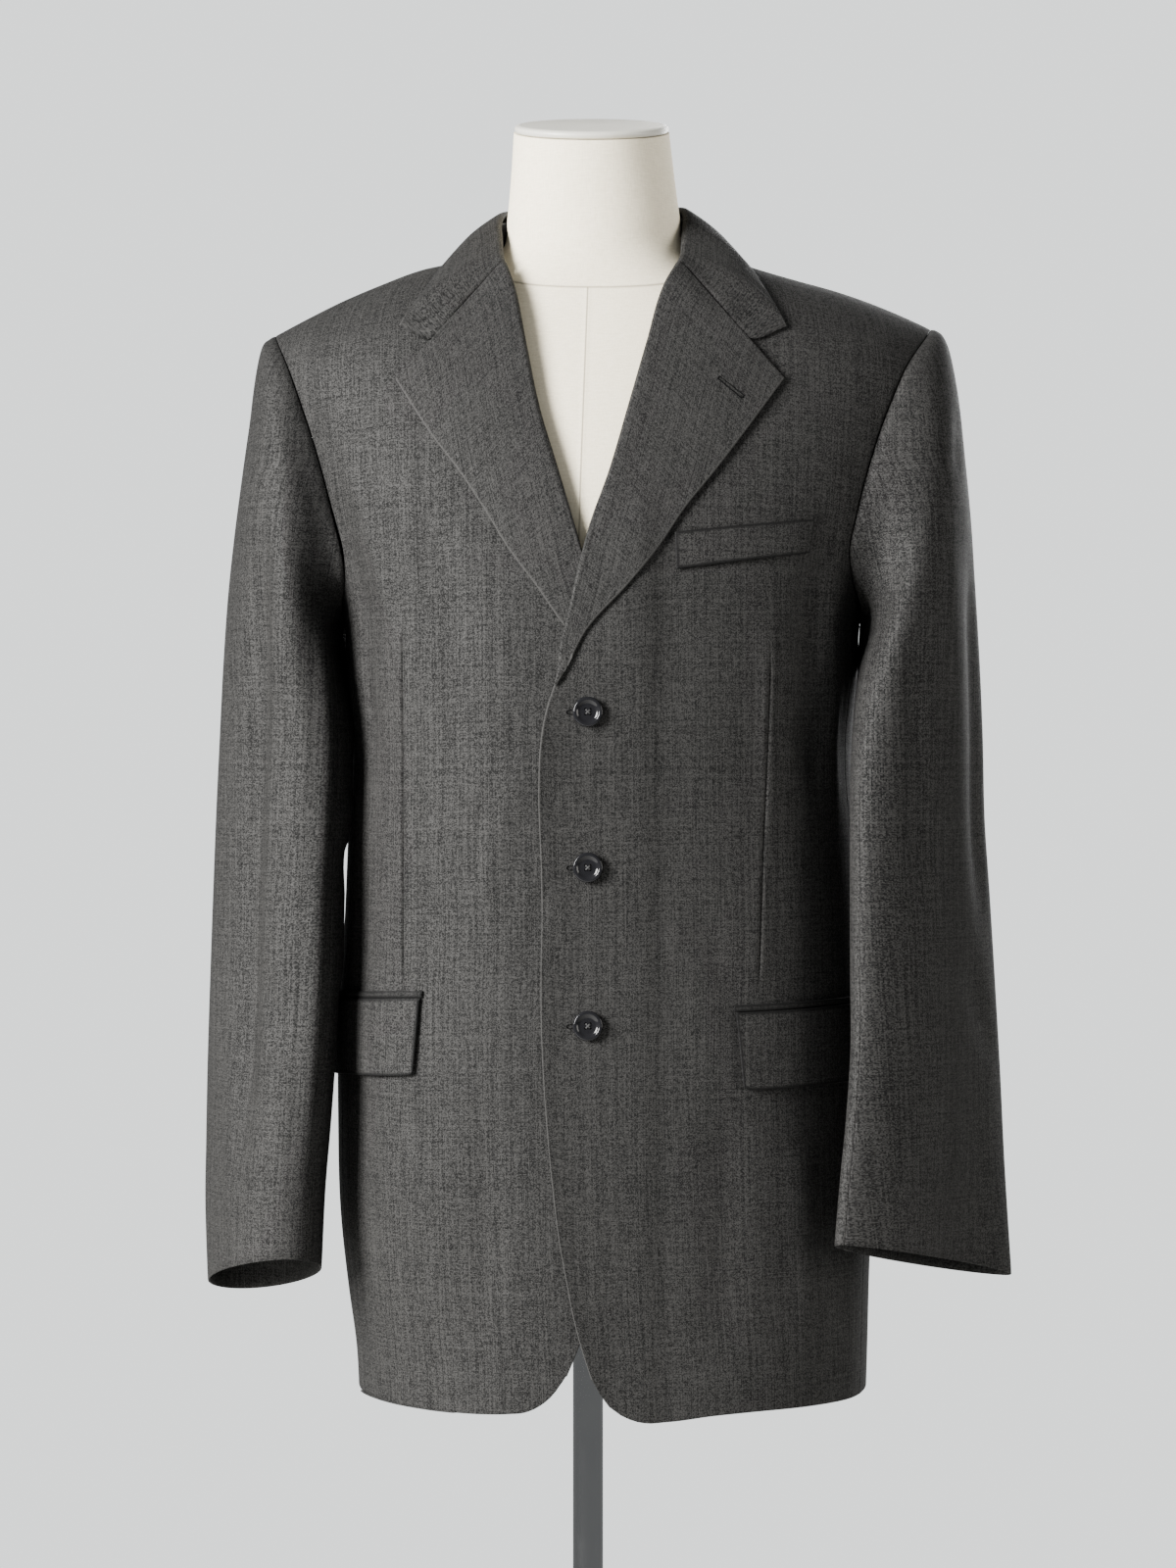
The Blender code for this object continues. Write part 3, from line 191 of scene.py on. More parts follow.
BODY = (
    BodyRow(0.690, 0.1600, 0.1945, 0.147, 0.126),
    BodyRow(0.740, 0.1625, 0.1960, 0.147, 0.126),
    BodyRow(0.780, 0.1680, 0.1970, 0.146, 0.125),
    BodyRow(0.830, 0.1735, 0.1985, 0.145, 0.124),
    BodyRow(0.900, 0.1755, 0.1975, 0.143, 0.120),
    BodyRow(0.980, 0.1748, 0.1965, 0.141, 0.111),
    BodyRow(1.040, 0.1707, 0.1940, 0.140, 0.105),
    BodyRow(1.090, 0.1686, 0.1900, 0.140, 0.103),
    BodyRow(1.155, 0.1650, 0.1855, 0.143, 0.109),
    BodyRow(1.205, 0.1695, 0.1895, 0.143, 0.116),
    BodyRow(1.245, 0.1714, 0.1910, 0.140, 0.120),
    BodyRow(1.300, 0.1880, 0.2080, 0.133, 0.121),
    BodyRow(1.360, 0.2065, 0.2265, 0.118, 0.116),
    BodyRow(1.400, 0.2190, 0.2390, 0.103, 0.108),
    BodyRow(1.440, 0.2305, 0.2505, 0.086, 0.098),
    BodyRow(1.475, 0.2400, 0.2600, 0.070, 0.086),
    BodyRow(1.520, 0.2500, 0.2700, 0.052, 0.066),
)

SHOULDER = (
    ShoulderRow(0.0000, 1.5750, 1.5750),
    ShoulderRow(0.0300, 1.5600, 1.5620),
    ShoulderRow(0.0500, 1.5360, 1.5400),
    ShoulderRow(0.0660, 1.5130, 1.5200),
    ShoulderRow(0.0800, 1.5045, 1.5095),
    ShoulderRow(0.0980, 1.4985, 1.5025),
    ShoulderRow(0.1154, 1.4945, 1.4965),
    ShoulderRow(0.1472, 1.4827, 1.4868),
    ShoulderRow(0.1730, 1.4717, 1.4795),
    ShoulderRow(0.1970, 1.4599, 1.4713),
    ShoulderRow(0.2190, 1.4485, 1.4625),
    ShoulderRow(0.2388, 1.4380, 1.4537),
    ShoulderRow(0.2700, 1.4200, 1.4370),
)

ARMHOLE = (
    ArmholeRow(0.00, 25.0, 33.0, 24.0),
    ArmholeRow(0.25, 26.0, 34.0, 25.0),
    ArmholeRow(0.50, 27.0, 34.0, 25.0),
    ArmholeRow(0.70, 26.0, 32.0, 24.5),
    ArmholeRow(0.85, 24.0, 28.5, 23.0),
    ArmholeRow(1.00, 19.6, 19.6, 19.6),
)
ARMHOLE_TURNS_IN = 0.25   # part of the armhole's height over which its bottom rounds in

FRONT_EDGE = (
    EdgeRow(0.7390, 0.0026, -0.0140),
    EdgeRow(0.7560, -0.0030, -0.0070),
    EdgeRow(0.7700, -0.0070, -0.0020),
    EdgeRow(0.7870, -0.0108, 0.0040),
    EdgeRow(0.8060, -0.0143, 0.0090),
    EdgeRow(0.8320, -0.0189, 0.0150),
    EdgeRow(0.8580, -0.0221, 0.0200),
    EdgeRow(0.9100, -0.0270, 0.0260),
    EdgeRow(0.9620, -0.0300, 0.0290),
    EdgeRow(1.0660, -0.0300, 0.0300),
    EdgeRow(1.1310, -0.0314, 0.0300),
    EdgeRow(1.1570, -0.0302, 0.0290),
    EdgeRow(1.1830, -0.0262, 0.0255),
    EdgeRow(1.1960, -0.0221, 0.0220),
    EdgeRow(1.2430, -0.0105, 0.0075),
    EdgeRow(1.2740, -0.0035, -0.0033),
    EdgeRow(1.3010, 0.0035, -0.0112),
    EdgeRow(1.3380, 0.0162, -0.0218),
    EdgeRow(1.3820, 0.0288, -0.0346),
    EdgeRow(1.4260, 0.0412, -0.0436),
    EdgeRow(1.4720, 0.0548, -0.0530),
    EdgeRow(1.4900, 0.0640, -0.0590),
    EdgeRow(1.5100, 0.0720, -0.0665),
)

HEM_OVER = (
    HemRow(0.0026, 0.7390),
    HemRow(0.0110, 0.7230),
    HemRow(0.0195, 0.7150),
    HemRow(0.0290, 0.7100),
    HemRow(0.0390, 0.7077),
    HemRow(0.0533, 0.7080),
    HemRow(0.0820, 0.7110),
    HemRow(0.1110, 0.7125),
    HemRow(0.1500, 0.7125),
    HemRow(0.2000, 0.7115),
)

HEM_UNDER = (
    HemRow(0.0140, 0.7390),
    HemRow(0.0234, 0.7262),
    HemRow(0.0320, 0.7190),
    HemRow(0.0410, 0.7147),
    HemRow(0.0533, 0.7130),
    HemRow(0.0680, 0.7122),
    HemRow(0.0925, 0.7120),
    HemRow(0.1305, 0.7130),
    HemRow(0.2000, 0.7115),
)

LAPEL_EDGE = (
    LapelRow(1.1990, -0.0185, 0.0185),
    LapelRow(1.2060, -0.0144, 0.0120),
    LapelRow(1.2340, 0.0005, -0.0144),
    LapelRow(1.2620, 0.0260, -0.0340),
    LapelRow(1.2880, 0.0468, -0.0532),
    LapelRow(1.3140, 0.0640, -0.0689),
    LapelRow(1.3410, 0.0855, -0.0867),
    LapelRow(1.3650, 0.1035, -0.1046),
    LapelRow(1.4050, 0.1325, -0.1300),
)

COLLAR_RIGHT = (
    CollarRow(0.00, -0.0600, -0.0560, 1.4880, -0.1285, 1.4430),
    CollarRow(0.22, -0.0618, -0.0240, 1.5110, -0.1130, 1.4680),
    CollarRow(0.46, -0.0620, 0.0080, 1.5300, -0.0930, 1.5000),
    CollarRow(0.74, -0.0460, 0.0540, 1.5410, -0.0740, 1.4900),
    CollarRow(1.00, 0.0030, 0.0710, 1.5450, 0.0030, 1.4860),
)

COLLAR_LEFT = (
    CollarRow(0.00, 0.0655, -0.0560, 1.4880, 0.1350, 1.4420),
    CollarRow(0.22, 0.0675, -0.0240, 1.5130, 0.1220, 1.4690),
    CollarRow(0.46, 0.0685, 0.0080, 1.5340, 0.1030, 1.5010),
    CollarRow(0.74, 0.0520, 0.0540, 1.5420, 0.0800, 1.4900),
    CollarRow(1.00, 0.0030, 0.0710, 1.5450, 0.0030, 1.4860),
)

BODY_FOLDS = (
    FoldRow(-64, 0.980, 7, 0.150, -0.0030),
    FoldRow(-50, 0.880, 9, 0.160, 0.0025),
    FoldRow(62, 0.860, 9, 0.150, 0.0025),
    FoldRow(-125, 0.900, 10, 0.170, -0.0040),
    FoldRow(128, 0.880, 11, 0.160, -0.0040),
    FoldRow(150, 0.840, 8, 0.150, 0.0035),
    FoldRow(-152, 0.860, 9, 0.160, 0.0030),
    FoldRow(-140, 1.330, 9, 0.080, -0.0030),
    FoldRow(140, 1.330, 9, 0.080, -0.0030),
)

BODY_CREASES = (
    Crease(45, 1.320, 50, 1.120, 0.0150, -0.0052),
    Crease(58, 1.290, 61, 1.100, 0.0120, 0.0026),
    Crease(34, 1.260, 37, 1.080, 0.0110, 0.0016),
    Crease(-50, 1.370, -49, 1.215, 0.0110, 0.0030),
    Crease(-32, 1.330, -29, 1.120, 0.0150, -0.0026),
    Crease(-60, 1.330, -63, 1.130, 0.0130, -0.0030),
    Crease(-8, 1.075, -13, 1.005, 0.0040, -0.0012),
    Crease(-14, 1.150, -24, 1.040, 0.0090, 0.0012),
    Crease(15, 1.060, 26, 0.960, 0.0110, -0.0014),
    Crease(22, 0.930, 20, 0.745, 0.0150, -0.0024),
    Crease(41, 0.900, 43, 0.740, 0.0130, 0.0020),
    Crease(-20, 0.930, -22, 0.760, 0.0140, -0.0018),
    Crease(-38, 0.900, -35, 0.740, 0.0150, 0.0020),
    Crease(-118, 1.240, -128, 1.110, 0.0120, -0.0032),
    Crease(-108, 1.180, -116, 1.060, 0.0090, 0.0020),
    Crease(121, 1.230, 131, 1.080, 0.0130, -0.0036),
    Crease(111, 1.170, 120, 1.040, 0.0100, 0.0022),
    Crease(-160, 1.455, -140, 1.425, 0.0090, -0.0018),
    Crease(163, 1.462, 143, 1.430, 0.0100, -0.0020),
    Crease(-164, 1.050, -157, 0.900, 0.0140, -0.0026),
    Crease(166, 1.020, 160, 0.850, 0.0150, -0.0024),
)


# ---------------------------------------------------------------- curves and tables
def column(rows: Sequence, name: str, at, by: str = "z") -> np.ndarray:
    """Value of a table's column on a smooth curve through its rows.

    Args:
        rows: table of named rows, in rising order of the column by.
        name: column to read.
        at: places to read it at.
        by: column that holds the places.

    Returns:
        The values, in the shape of at.
    """
    places = np.array([getattr(row, by) for row in rows], dtype=float)
    values = np.array([getattr(row, name) for row in rows], dtype=float)
    slopes = np.gradient(values, places)
    at = np.clip(at, places[0], places[-1])
    low = np.clip(np.searchsorted(places, at) - 1, 0, len(places) - 2)
    step = places[low + 1] - places[low]
    t = (at - places[low]) / step
    start = (1 + 2 * t) * (1 - t) ** 2 * values[low] + t * (1 - t) ** 2 * step * slopes[low]
    end = t * t * (3 - 2 * t) * values[low + 1] - t * t * (1 - t) * step * slopes[low + 1]
    return start + end


def smooth_step(t) -> np.ndarray:
    """Soft step from 0 to 1 as t goes from 0 to 1."""
    t = np.clip(t, 0.0, 1.0)
    return t * t * (3 - 2 * t)


def signed_power(value, power: float) -> np.ndarray:
    """Power of a number's size, with the number's own sign."""
    return np.sign(value) * np.abs(value) ** power


def unit(vector: np.ndarray) -> np.ndarray:
    """Vectors along the last axis, brought to length 1."""
    return vector / np.linalg.norm(vector, axis=-1, keepdims=True)


def even_curve(points: np.ndarray, count: int) -> np.ndarray:
    """Smooth curve through a few points, given again by count points.

    Args:
        points: places along the curve, one row each.
        count: number of points wanted.

    Returns:
        The new points, spaced as the given ones are.
    """
    padded = np.concatenate([2 * points[:1] - points[1:2], points, 2 * points[-1:] - points[-2:-1]])
    place = np.linspace(0, len(points) - 1, count)
    low = np.minimum(place.astype(int), len(points) - 2)
    t = (place - low)[:, None]
    p0, p1, p2, p3 = (padded[low + k] for k in range(4))
    return p1 + 0.5 * t * (p2 - p0 + t * (2 * p0 - 5 * p1 + 4 * p2 - p3
                                          + t * (3 * (p1 - p2) + p3 - p0)))


def crease_depth(creases: Sequence[Crease], turn, z, radius: float) -> np.ndarray:
    """How far creases move a surface outwards.

    Args:
        creases: the creases on it.
        turn: turns of the places asked for, radians.
        z: their heights.
        radius: length on the surface of one radian of turn.

    Returns:
        The movement along the surface's outward direction.
    """
    turn, z = np.broadcast_arrays(np.asarray(turn, float), np.asarray(z, float))
    total = np.zeros(turn.shape)
    for crease in creases:
        start = np.array([math.radians(crease.turn) * radius, crease.z])
        end = np.array([math.radians(crease.end_turn) * radius, crease.end_z])
        along = end - start
        length = float(np.linalg.norm(along))
        along = along / length
        across_x = turn * radius - start[0]
        across_z = z - start[1]
        part = (across_x * along[0] + across_z * along[1]) / length
        away = across_x * -along[1] + across_z * along[0]
        fade = smooth_step(part / FADE_LENGTH + FADE_START)
        fade = fade * smooth_step((1 - part) / FADE_LENGTH + FADE_START)
        total += crease.depth * fade * np.exp(-(away / crease.width) ** 2)
    return total


def edge_positions(count: int, width: float, start: bool = True, end: bool = True) -> np.ndarray:
    """Places from 0 to 1 across a piece, with a few close to the edges that round off.

    Args:
        count: number of even places.
        width: real width of the piece.
        start: the piece has a finished or sewn edge at 0.
        end: the same at 1.

    Returns:
        The rising places.
    """
    near = np.array(EDGE_STEPS) / width
    places = [np.linspace(0, 1, count)]
    if start:
        places.append(near)
    if end:
        places.append(1 - near)
    merged = np.unique(np.concatenate(places).clip(0, 1))
    keep = np.concatenate([[True], np.diff(merged) > LEAST_STEP / width])
    merged = merged[keep]
    merged[-1] = 1.0
    return merged


# ---------------------------------------------------------------- cloth meshes
@dataclass
class ClothGrid:
    """Outer face of a cloth piece as a grid of points, with what its mesh needs.

    The first axis runs up the piece and the second across it.
    """

    points: np.ndarray
    normals: np.ndarray
    uv: np.ndarray
    edge: Optional[np.ndarray] = None
    # distance from the sides that carry a painted shadow
    pressed: Optional[np.ndarray] = None
    thinned: Optional[np.ndarray] = None

    def distance_to(self, sides: str) -> np.ndarray:
        """Distance of every point from the nearest of the named sides.

        Args:
            sides: u and d for the last and first row, s and e for the first and last column.

        Returns:
            The distances along the grid's lines.
        """
        up, over = arc_lengths(self.points, 0), arc_lengths(self.points, 1)
        ways = {"d": up, "u": up[-1:] - up, "s": over, "e": over[:, -1:] - over}
        return np.minimum.reduce([ways[side] for side in sides] + [np.ones_like(up)])

    def shape_edges(self, wall: float, finished: str, seams: str = "", stitched: str = "",
                    pressed: str = "") -> None:
        """Rounds finished edges off and lets sewn edges dip into their seam.

        Args:
            wall: thickness of the piece.
            finished: sides with a folded edge.
            seams: sides that are sewn to another piece.
            stitched: sides with a row of pick stitches, which also get a painted highlight along
                their edge.
            pressed: sides along which a painted shadow darkens the cloth, standing in for the shade
                where the piece lies on the cloth under it.
        """
        # Distances for the material: from stitched sides for the painted edge highlight and the
        # pick-stitch groove, and from the sides with a painted shadow.
        self.edge = self.distance_to(stitched)
        self.pressed = self.distance_to(pressed)
        inward = 1 - np.minimum(self.distance_to(finished) / EDGE_ROLL, 1.0)
        roll = wall * 0.5 * (1 - np.sqrt(np.maximum(1 - inward ** 2, 0.0)))
        near = 1 - np.minimum(self.distance_to(seams) / SEAM_REACH, 1.0)
        dip = SEAM_DIP * near ** 2
        self.points = self.points - self.normals * (roll + dip)[..., None]
        self.thinned = 2 * roll + dip

    def inset_line(self, side: str, inset: float, lift: float) -> np.ndarray:
        """Line that runs along one side of the piece, some way in and just above it."""
        ways = {"s": lambda g: g, "e": lambda g: g[:, ::-1], "d": lambda g: g.transpose(1, 0, 2),
                "u": lambda g: g.transpose(1, 0, 2)[:, ::-1]}
        raised = ways[side](self.points + self.normals * lift)
        lengths = arc_lengths(raised, 1)
        return np.array([[np.interp(inset, lengths[row], raised[row, :, axis])
                          for axis in range(3)] for row in range(len(raised))])

    def onto(self, x: float, z: float, lift: float) -> tuple[np.ndarray, np.ndarray]:
        """Point just above the piece's front at a place across and a height, and its normal."""
        points = self.points.reshape(-1, 3)
        away = np.hypot(points[:, 0] - x, points[:, 2] - z)
        away = away + (self.normals.reshape(-1, 3)[:, 1] > -0.2)
        near = points[np.argsort(away)[:12]]
        plane = np.stack([np.ones(len(near)), near[:, 0] - x, near[:, 2] - z], axis=-1)
        depth, over, up = np.linalg.lstsq(plane, near[:, 1], rcond=None)[0]
        normal = unit(np.array([over, -1.0, up]))
        return np.array([x, depth, z]) + normal * lift, normal


def grid_normals(points: np.ndarray, sign: float) -> np.ndarray:
    """Outward directions of a grid's surface, worked out from its own points."""
    across = np.gradient(points, axis=1)
    upward = np.gradient(points, axis=0)
    out = np.cross(across, upward) * sign
    return out / np.maximum(np.linalg.norm(out, axis=-1, keepdims=True), 1e-12)


def arc_lengths(points: np.ndarray, axis: int) -> np.ndarray:
    """Length along a grid's lines from their start, along the given axis."""
    steps = np.linalg.norm(np.diff(points, axis=axis), axis=-1)
    zero = np.zeros_like(np.take(steps, [0], axis=axis))
    return np.concatenate([zero, np.cumsum(steps, axis=axis)], axis=axis)


def new_object(name: str, data: bpy.types.ID) -> bpy.types.Object:
    """Object of a mesh, a light or a camera, put into the scene."""
    thing = bpy.data.objects.new(name, data)
    bpy.context.scene.collection.objects.link(thing)
    return thing


def new_piece(name: str, mesh: bpy.types.Mesh, material: bpy.types.Material) -> bpy.types.Object:
    """Object of a mesh in the scene, with its material and smooth shading."""
    mesh.materials.clear()
    mesh.materials.append(material)
    mesh.shade_smooth()
    return new_object(name, mesh)


def finished_mesh(name: str, shape: bmesh.types.BMesh) -> bpy.types.Mesh:
    """Mesh of a shape that is drawn up, which is freed."""
    mesh = bpy.data.meshes.new(name)
    shape.to_mesh(mesh)
    shape.free()
    return mesh


def join_rings(shape: bmesh.types.BMesh, rings: Sequence[Sequence[bmesh.types.BMVert]]) -> None:
    """Joins rings of corners into a tube and closes both of its ends."""
    for low, high in zip(rings, rings[1:]):
        for place in range(len(low)):
            beside = (place + 1) % len(low)
            shape.faces.new((low[place], low[beside], high[beside], high[place]))
    shape.faces.new(rings[0][::-1])
    shape.faces.new(rings[-1])


def cloth_shell(name: str, grid: ClothGrid, material: bpy.types.Material, wall: float = CLOTH,
                flip: bool = False) -> bpy.types.Object:
    """Closed cloth piece: its outer face, its inner face and the rim between them.

    Args:
        name: name of the piece.
        grid: outer face.
        material: its cloth.
        wall: thickness.
        flip: the grid runs the other way round, so that its faces are turned over.

    Returns:
        The object, with a UV map in metres of cloth and its distance from an edge.
    """
    outer = grid.points
    rows, columns = outer.shape[:2]
    thinned = np.zeros((rows, columns)) if grid.thinned is None else grid.thinned
    inner = grid.points - grid.normals * (wall - thinned)[..., None]
    count = rows * columns
    index = np.arange(count).reshape(rows, columns)
    quads = np.stack([index[:-1, :-1], index[:-1, 1:], index[1:, 1:], index[1:, :-1]], axis=-1)
    quads = quads.reshape(-1, 4)
    inside = quads[:, ::-1] + count
    loop = np.concatenate([index[0, :], index[1:, -1], index[-1, -2::-1], index[-2:0:-1, 0]])
    following = np.roll(loop, -1)
    rim = np.stack([loop, loop + count, following + count, following], axis=-1)
    faces = np.concatenate([quads, inside, rim])
    if flip:
        faces = faces[:, ::-1]
    points = np.concatenate([outer.reshape(-1, 3), inner.reshape(-1, 3)])
    mesh = bpy.data.meshes.new(name)
    mesh.vertices.add(len(points))
    mesh.vertices.foreach_set("co", points.astype(np.float32).ravel())
    mesh.loops.add(faces.size)
    mesh.loops.foreach_set("vertex_index", faces.astype(np.int32).ravel())
    mesh.polygons.add(len(faces))
    mesh.polygons.foreach_set("loop_start", np.arange(0, faces.size, 4, dtype=np.int32))
    mesh.update(calc_edges=True)
    uv = np.concatenate([grid.uv.reshape(-1, 2)] * 2)
    layer = mesh.uv_layers.new(name="cloth")
    layer.uv.foreach_set("vector", uv[faces.ravel()].astype(np.float32).ravel())
    # Point attributes for the material: distance from stitched edges (painted highlight and stitch
    # groove) and from edges with a painted shadow.
    for label, distance in (("edge", grid.edge), ("pressed", grid.pressed)):
        distance = distance if distance is not None else np.full((rows, columns), 1.0)
        mark = mesh.attributes.new(label, "FLOAT", "POINT")
        mark.data.foreach_set("value", np.tile(distance.ravel(), 2).astype(np.float32))
    mesh.validate()
    return new_piece(name, mesh, material)


# ---------------------------------------------------------------- node trees
class Nodes:
    """Short way to place and join the nodes of one tree."""

    def __init__(self, tree: bpy.types.NodeTree) -> None:
        """Starts on a tree."""
        self.tree = tree

    def add(self, kind: str, inputs: Optional[dict] = None, **settings) -> bpy.types.Node:
        """Node of a kind, with its inputs set or linked and its own settings."""
        node = self.tree.nodes.new(kind)
        for name, value in settings.items():
            setattr(node, name, value)
        self.feed(node, inputs or {})
        return node

    def feed(self, node: bpy.types.Node, inputs: dict) -> None:
        """Sets or links inputs of a node."""
        for name, value in inputs.items():
            socket = node.inputs[name]
            if isinstance(value, bpy.types.NodeSocket):
                self.tree.links.new(value, socket)
            else:
                socket.default_value = value

    def math(self, operation: str, first, second=0.0, clamp: bool = False) -> bpy.types.NodeSocket:
        """Output of a sum or another operation on two values."""
        node = self.add("ShaderNodeMath", {0: first, 1: second}, operation=operation,
                        use_clamp=clamp)
        return node.outputs[0]

    def mix(self, share, first, second) -> bpy.types.NodeSocket:
        """Colour between two colours."""
        return self.add("ShaderNodeMix", {0: share, 6: first, 7: second},
                        data_type="RGBA").outputs[2]

    def ranged(self, value, start: float, end: float, low: float = 0.0,
               high: float = 1.0) -> bpy.types.NodeSocket:
        """Value carried from the range start to end over to the range low to high."""
        return self.add("ShaderNodeMapRange", {"Value": value, "From Min": start, "From Max": end,
                                               "To Min": low, "To Max": high}).outputs[0]

    def bell(self, square) -> bpy.types.NodeSocket:
        """Bell curve of a squared distance: 1 at none, falling off to 0."""
        return self.math("POWER", math.e, self.math("MULTIPLY", square, -1.0))

    def bump(self, height, strength: float, distance: float) -> bpy.types.NodeSocket:
        """Normal of a raised surface."""
        return self.add("ShaderNodeBump", {"Height": height, "Strength": strength,
                                           "Distance": distance}).outputs[0]

    def mark(self, name: str) -> bpy.types.NodeSocket:
        """Value of a named attribute of the cloth's points."""
        return self.add("ShaderNodeAttribute", attribute_name=name).outputs["Fac"]

    def place(self) -> bpy.types.NodeSocket:
        """Place on the object."""
        return self.add("ShaderNodeTexCoord").outputs["Object"]

    def noise(self, vector, scale: float, detail: float = 2.0, rough: float = 0.5,
              kind: str = "3D") -> bpy.types.NodeSocket:
        """Value of a noise pattern."""
        node = self.add("ShaderNodeTexNoise", {"Vector": vector, "Scale": scale, "Detail": detail,
                                               "Roughness": rough}, noise_dimensions=kind)
        return node.outputs["Fac"]

    def stretched(self, vector, scale: tuple[float, float, float]) -> bpy.types.NodeSocket:
        """Coordinates stretched by a scale."""
        return self.add("ShaderNodeMapping", {"Vector": vector, "Scale": scale}).outputs[0]


# ---------------------------------------------------------------- worn body surface
@dataclass
class WornBody:
    """Surface that the worn coat takes over the form: rounded rings closed at the shoulders."""

    rows: Sequence[BodyRow] = BODY
    shoulder: Sequence[ShoulderRow] = SHOULDER
    fine: Sequence[Crease] = ()
    radius: float = 0.165
    small: float = 0.0015
    chart_low: float = 0.69
    chart_high: float = 1.56
    chart_rows: int = 117
    chart_turns: int = 361

    def ring(self, z) -> tuple[np.ndarray, np.ndarray]:
        """Middle and half width of the body's ring at a height."""
        left = column(self.rows, "left", z)
        right = column(self.rows, "right", z)
        return (right - left) / 2, (right + left) / 2

    def shoulder_height(self, x) -> np.ndarray:
        """Height of the shoulder line above a place across the body."""
        reach = np.abs(x)
        low = column(self.shoulder, "left", reach, by="x")
        high = column(self.shoulder, "right", reach, by="x")
        return np.where(np.asarray(x) < 0, low, high)

    def plain(self, turn, z) -> np.ndarray:
        """Point of the surface without its folds."""
        turn, z = np.broadcast_arrays(np.asarray(turn, dtype=float), np.asarray(z, dtype=float))
        middle, half = self.ring(z)
        x = middle + half * signed_power(np.sin(turn), 2 / SQUARENESS)
        deep = np.where(np.cos(turn) > 0, column(self.rows, "front", z),
                        column(self.rows, "back", z))
        y = -deep * signed_power(np.cos(turn), 2 / SQUARENESS)
        up = np.clip((self.shoulder_height(x) - z) / CAP, 0.0, 1.0)
        y = RIDGE + (y - RIDGE) * np.sqrt(1 - (1 - up) ** 2)
        return np.stack([x, y, z], axis=-1)

    def normal(self, turn, z) -> np.ndarray:
        """Outward direction of the surface."""
        here = self.plain(turn, z)
        across = self.plain(turn + self.small, z) - self.plain(turn - self.small, z)
        upward = here - self.plain(turn, z - self.small)
        out = unit(np.cross(across, upward))
        below = (self.shoulder_height(here[..., 0]) - here[..., 2]) / RIDGE_BLEND
        out[..., 1] *= np.clip(below, 0.0, 1.0)
        return unit(out)

    def fold(self, turn, z) -> np.ndarray:
        """How far the broad soft folds and the creases stand out from the surface."""
        turn, z = np.broadcast_arrays(np.asarray(turn, float), np.asarray(z, float))
        total = np.zeros(turn.shape)
        for row in BODY_FOLDS:
            away = (turn - math.radians(row.turn)) / math.radians(row.wide)
            total = total + row.depth * np.exp(-away ** 2 - ((z - row.z) / row.tall) ** 2)
        return total + crease_depth(self.fine, turn, z, self.radius)

    def point(self, turn, z, out=0.0) -> np.ndarray:
        """Point of the surface with its folds, moved out by the given distance."""
        lift = np.asarray(self.fold(turn, z) + out)[..., None]
        return self.plain(turn, z) + self.normal(turn, z) * lift

    def turn_at(self, x, z, back: Optional[Side] = None) -> np.ndarray:
        """Turn about the body at which its ring reaches a place across.

        Args:
            x: places across.
            z: their heights.
            back: side of the back to look on; the front is meant without it.

        Returns:
            The turns.
        """
        middle, half = self.ring(z)
        part = np.clip((x - middle) / half, -1.0, 1.0)
        turn = np.arcsin(signed_power(part, SQUARENESS / 2))
        return turn if back is None else back.value * math.pi - turn

    def around(self, turn, z) -> np.ndarray:
        """Length round the body from the middle of its front to a turn, along its ring.

        Args:
            turn: turns of the places asked for.
            z: their heights.

        Returns:
            The lengths, read from a chart of the whole body.
        """
        turn, z = np.broadcast_arrays(np.asarray(turn, float), np.asarray(z, float))
        heights = np.linspace(self.chart_low, self.chart_high, self.chart_rows)
        turns = np.linspace(-math.pi, math.pi, self.chart_turns)
        lengths = arc_lengths(self.plain(turns[None, :], heights[:, None]), 1)
        middle = self.chart_turns // 2
        lengths = lengths - lengths[:, middle:middle + 1]
        inside = 1.001
        place = np.clip((z - heights[0]) / (heights[1] - heights[0]), 0, self.chart_rows - inside)
        low = place.astype(int)
        part = place - low
        spot = np.clip((turn + math.pi) / (turns[1] - turns[0]), 0, self.chart_turns - inside)
        left = spot.astype(int)
        over = spot - left
        below = lengths[low, left] * (1 - over) + lengths[low, left + 1] * over
        above = lengths[low + 1, left] * (1 - over) + lengths[low + 1, left + 1] * over
        return below * (1 - part) + above * part

    def shoulder_end(self, side: Side) -> tuple[float, float]:
        """Turn and height of the outer end of a shoulder seam."""
        turn = side.value * math.radians(90 - ARMHOLE[-1].back)
        z = 1.45
        for _ in range(30):
            z = float(self.shoulder_height(self.plain(turn, z)[0]))
        return turn, z

    def armhole(self, side: Side, angle) -> tuple[np.ndarray, np.ndarray]:
        """Turn and height on an armhole seam: angle 0 at its top, positive down its back."""
        angle = np.asarray(angle, dtype=float)
        part = (1 + np.cos(angle)) / 2
        top = self.shoulder_end(side)[1]
        rounding = np.sqrt(1 - (1 - np.clip(part / ARMHOLE_TURNS_IN, 0, 1)) ** 2)
        scoop = np.where(angle > 0, column(ARMHOLE, "back", part, by="part"),
                         -column(ARMHOLE, side.word, part, by="part"))
        turn = side.value * (math.pi / 2 + np.radians(scoop) * rounding)
        return turn, UNDERARM + part * (top - UNDERARM)

    def back_neckline(self, neck_x: float, x) -> np.ndarray:
        """Height of the back neckline between the neck point and the centre."""
        rest = np.abs(np.asarray(x) / neck_x)
        top = float(self.shoulder_height(neck_x))
        return NECK_BACK + (top - NECK_BACK) * rest ** 2.2


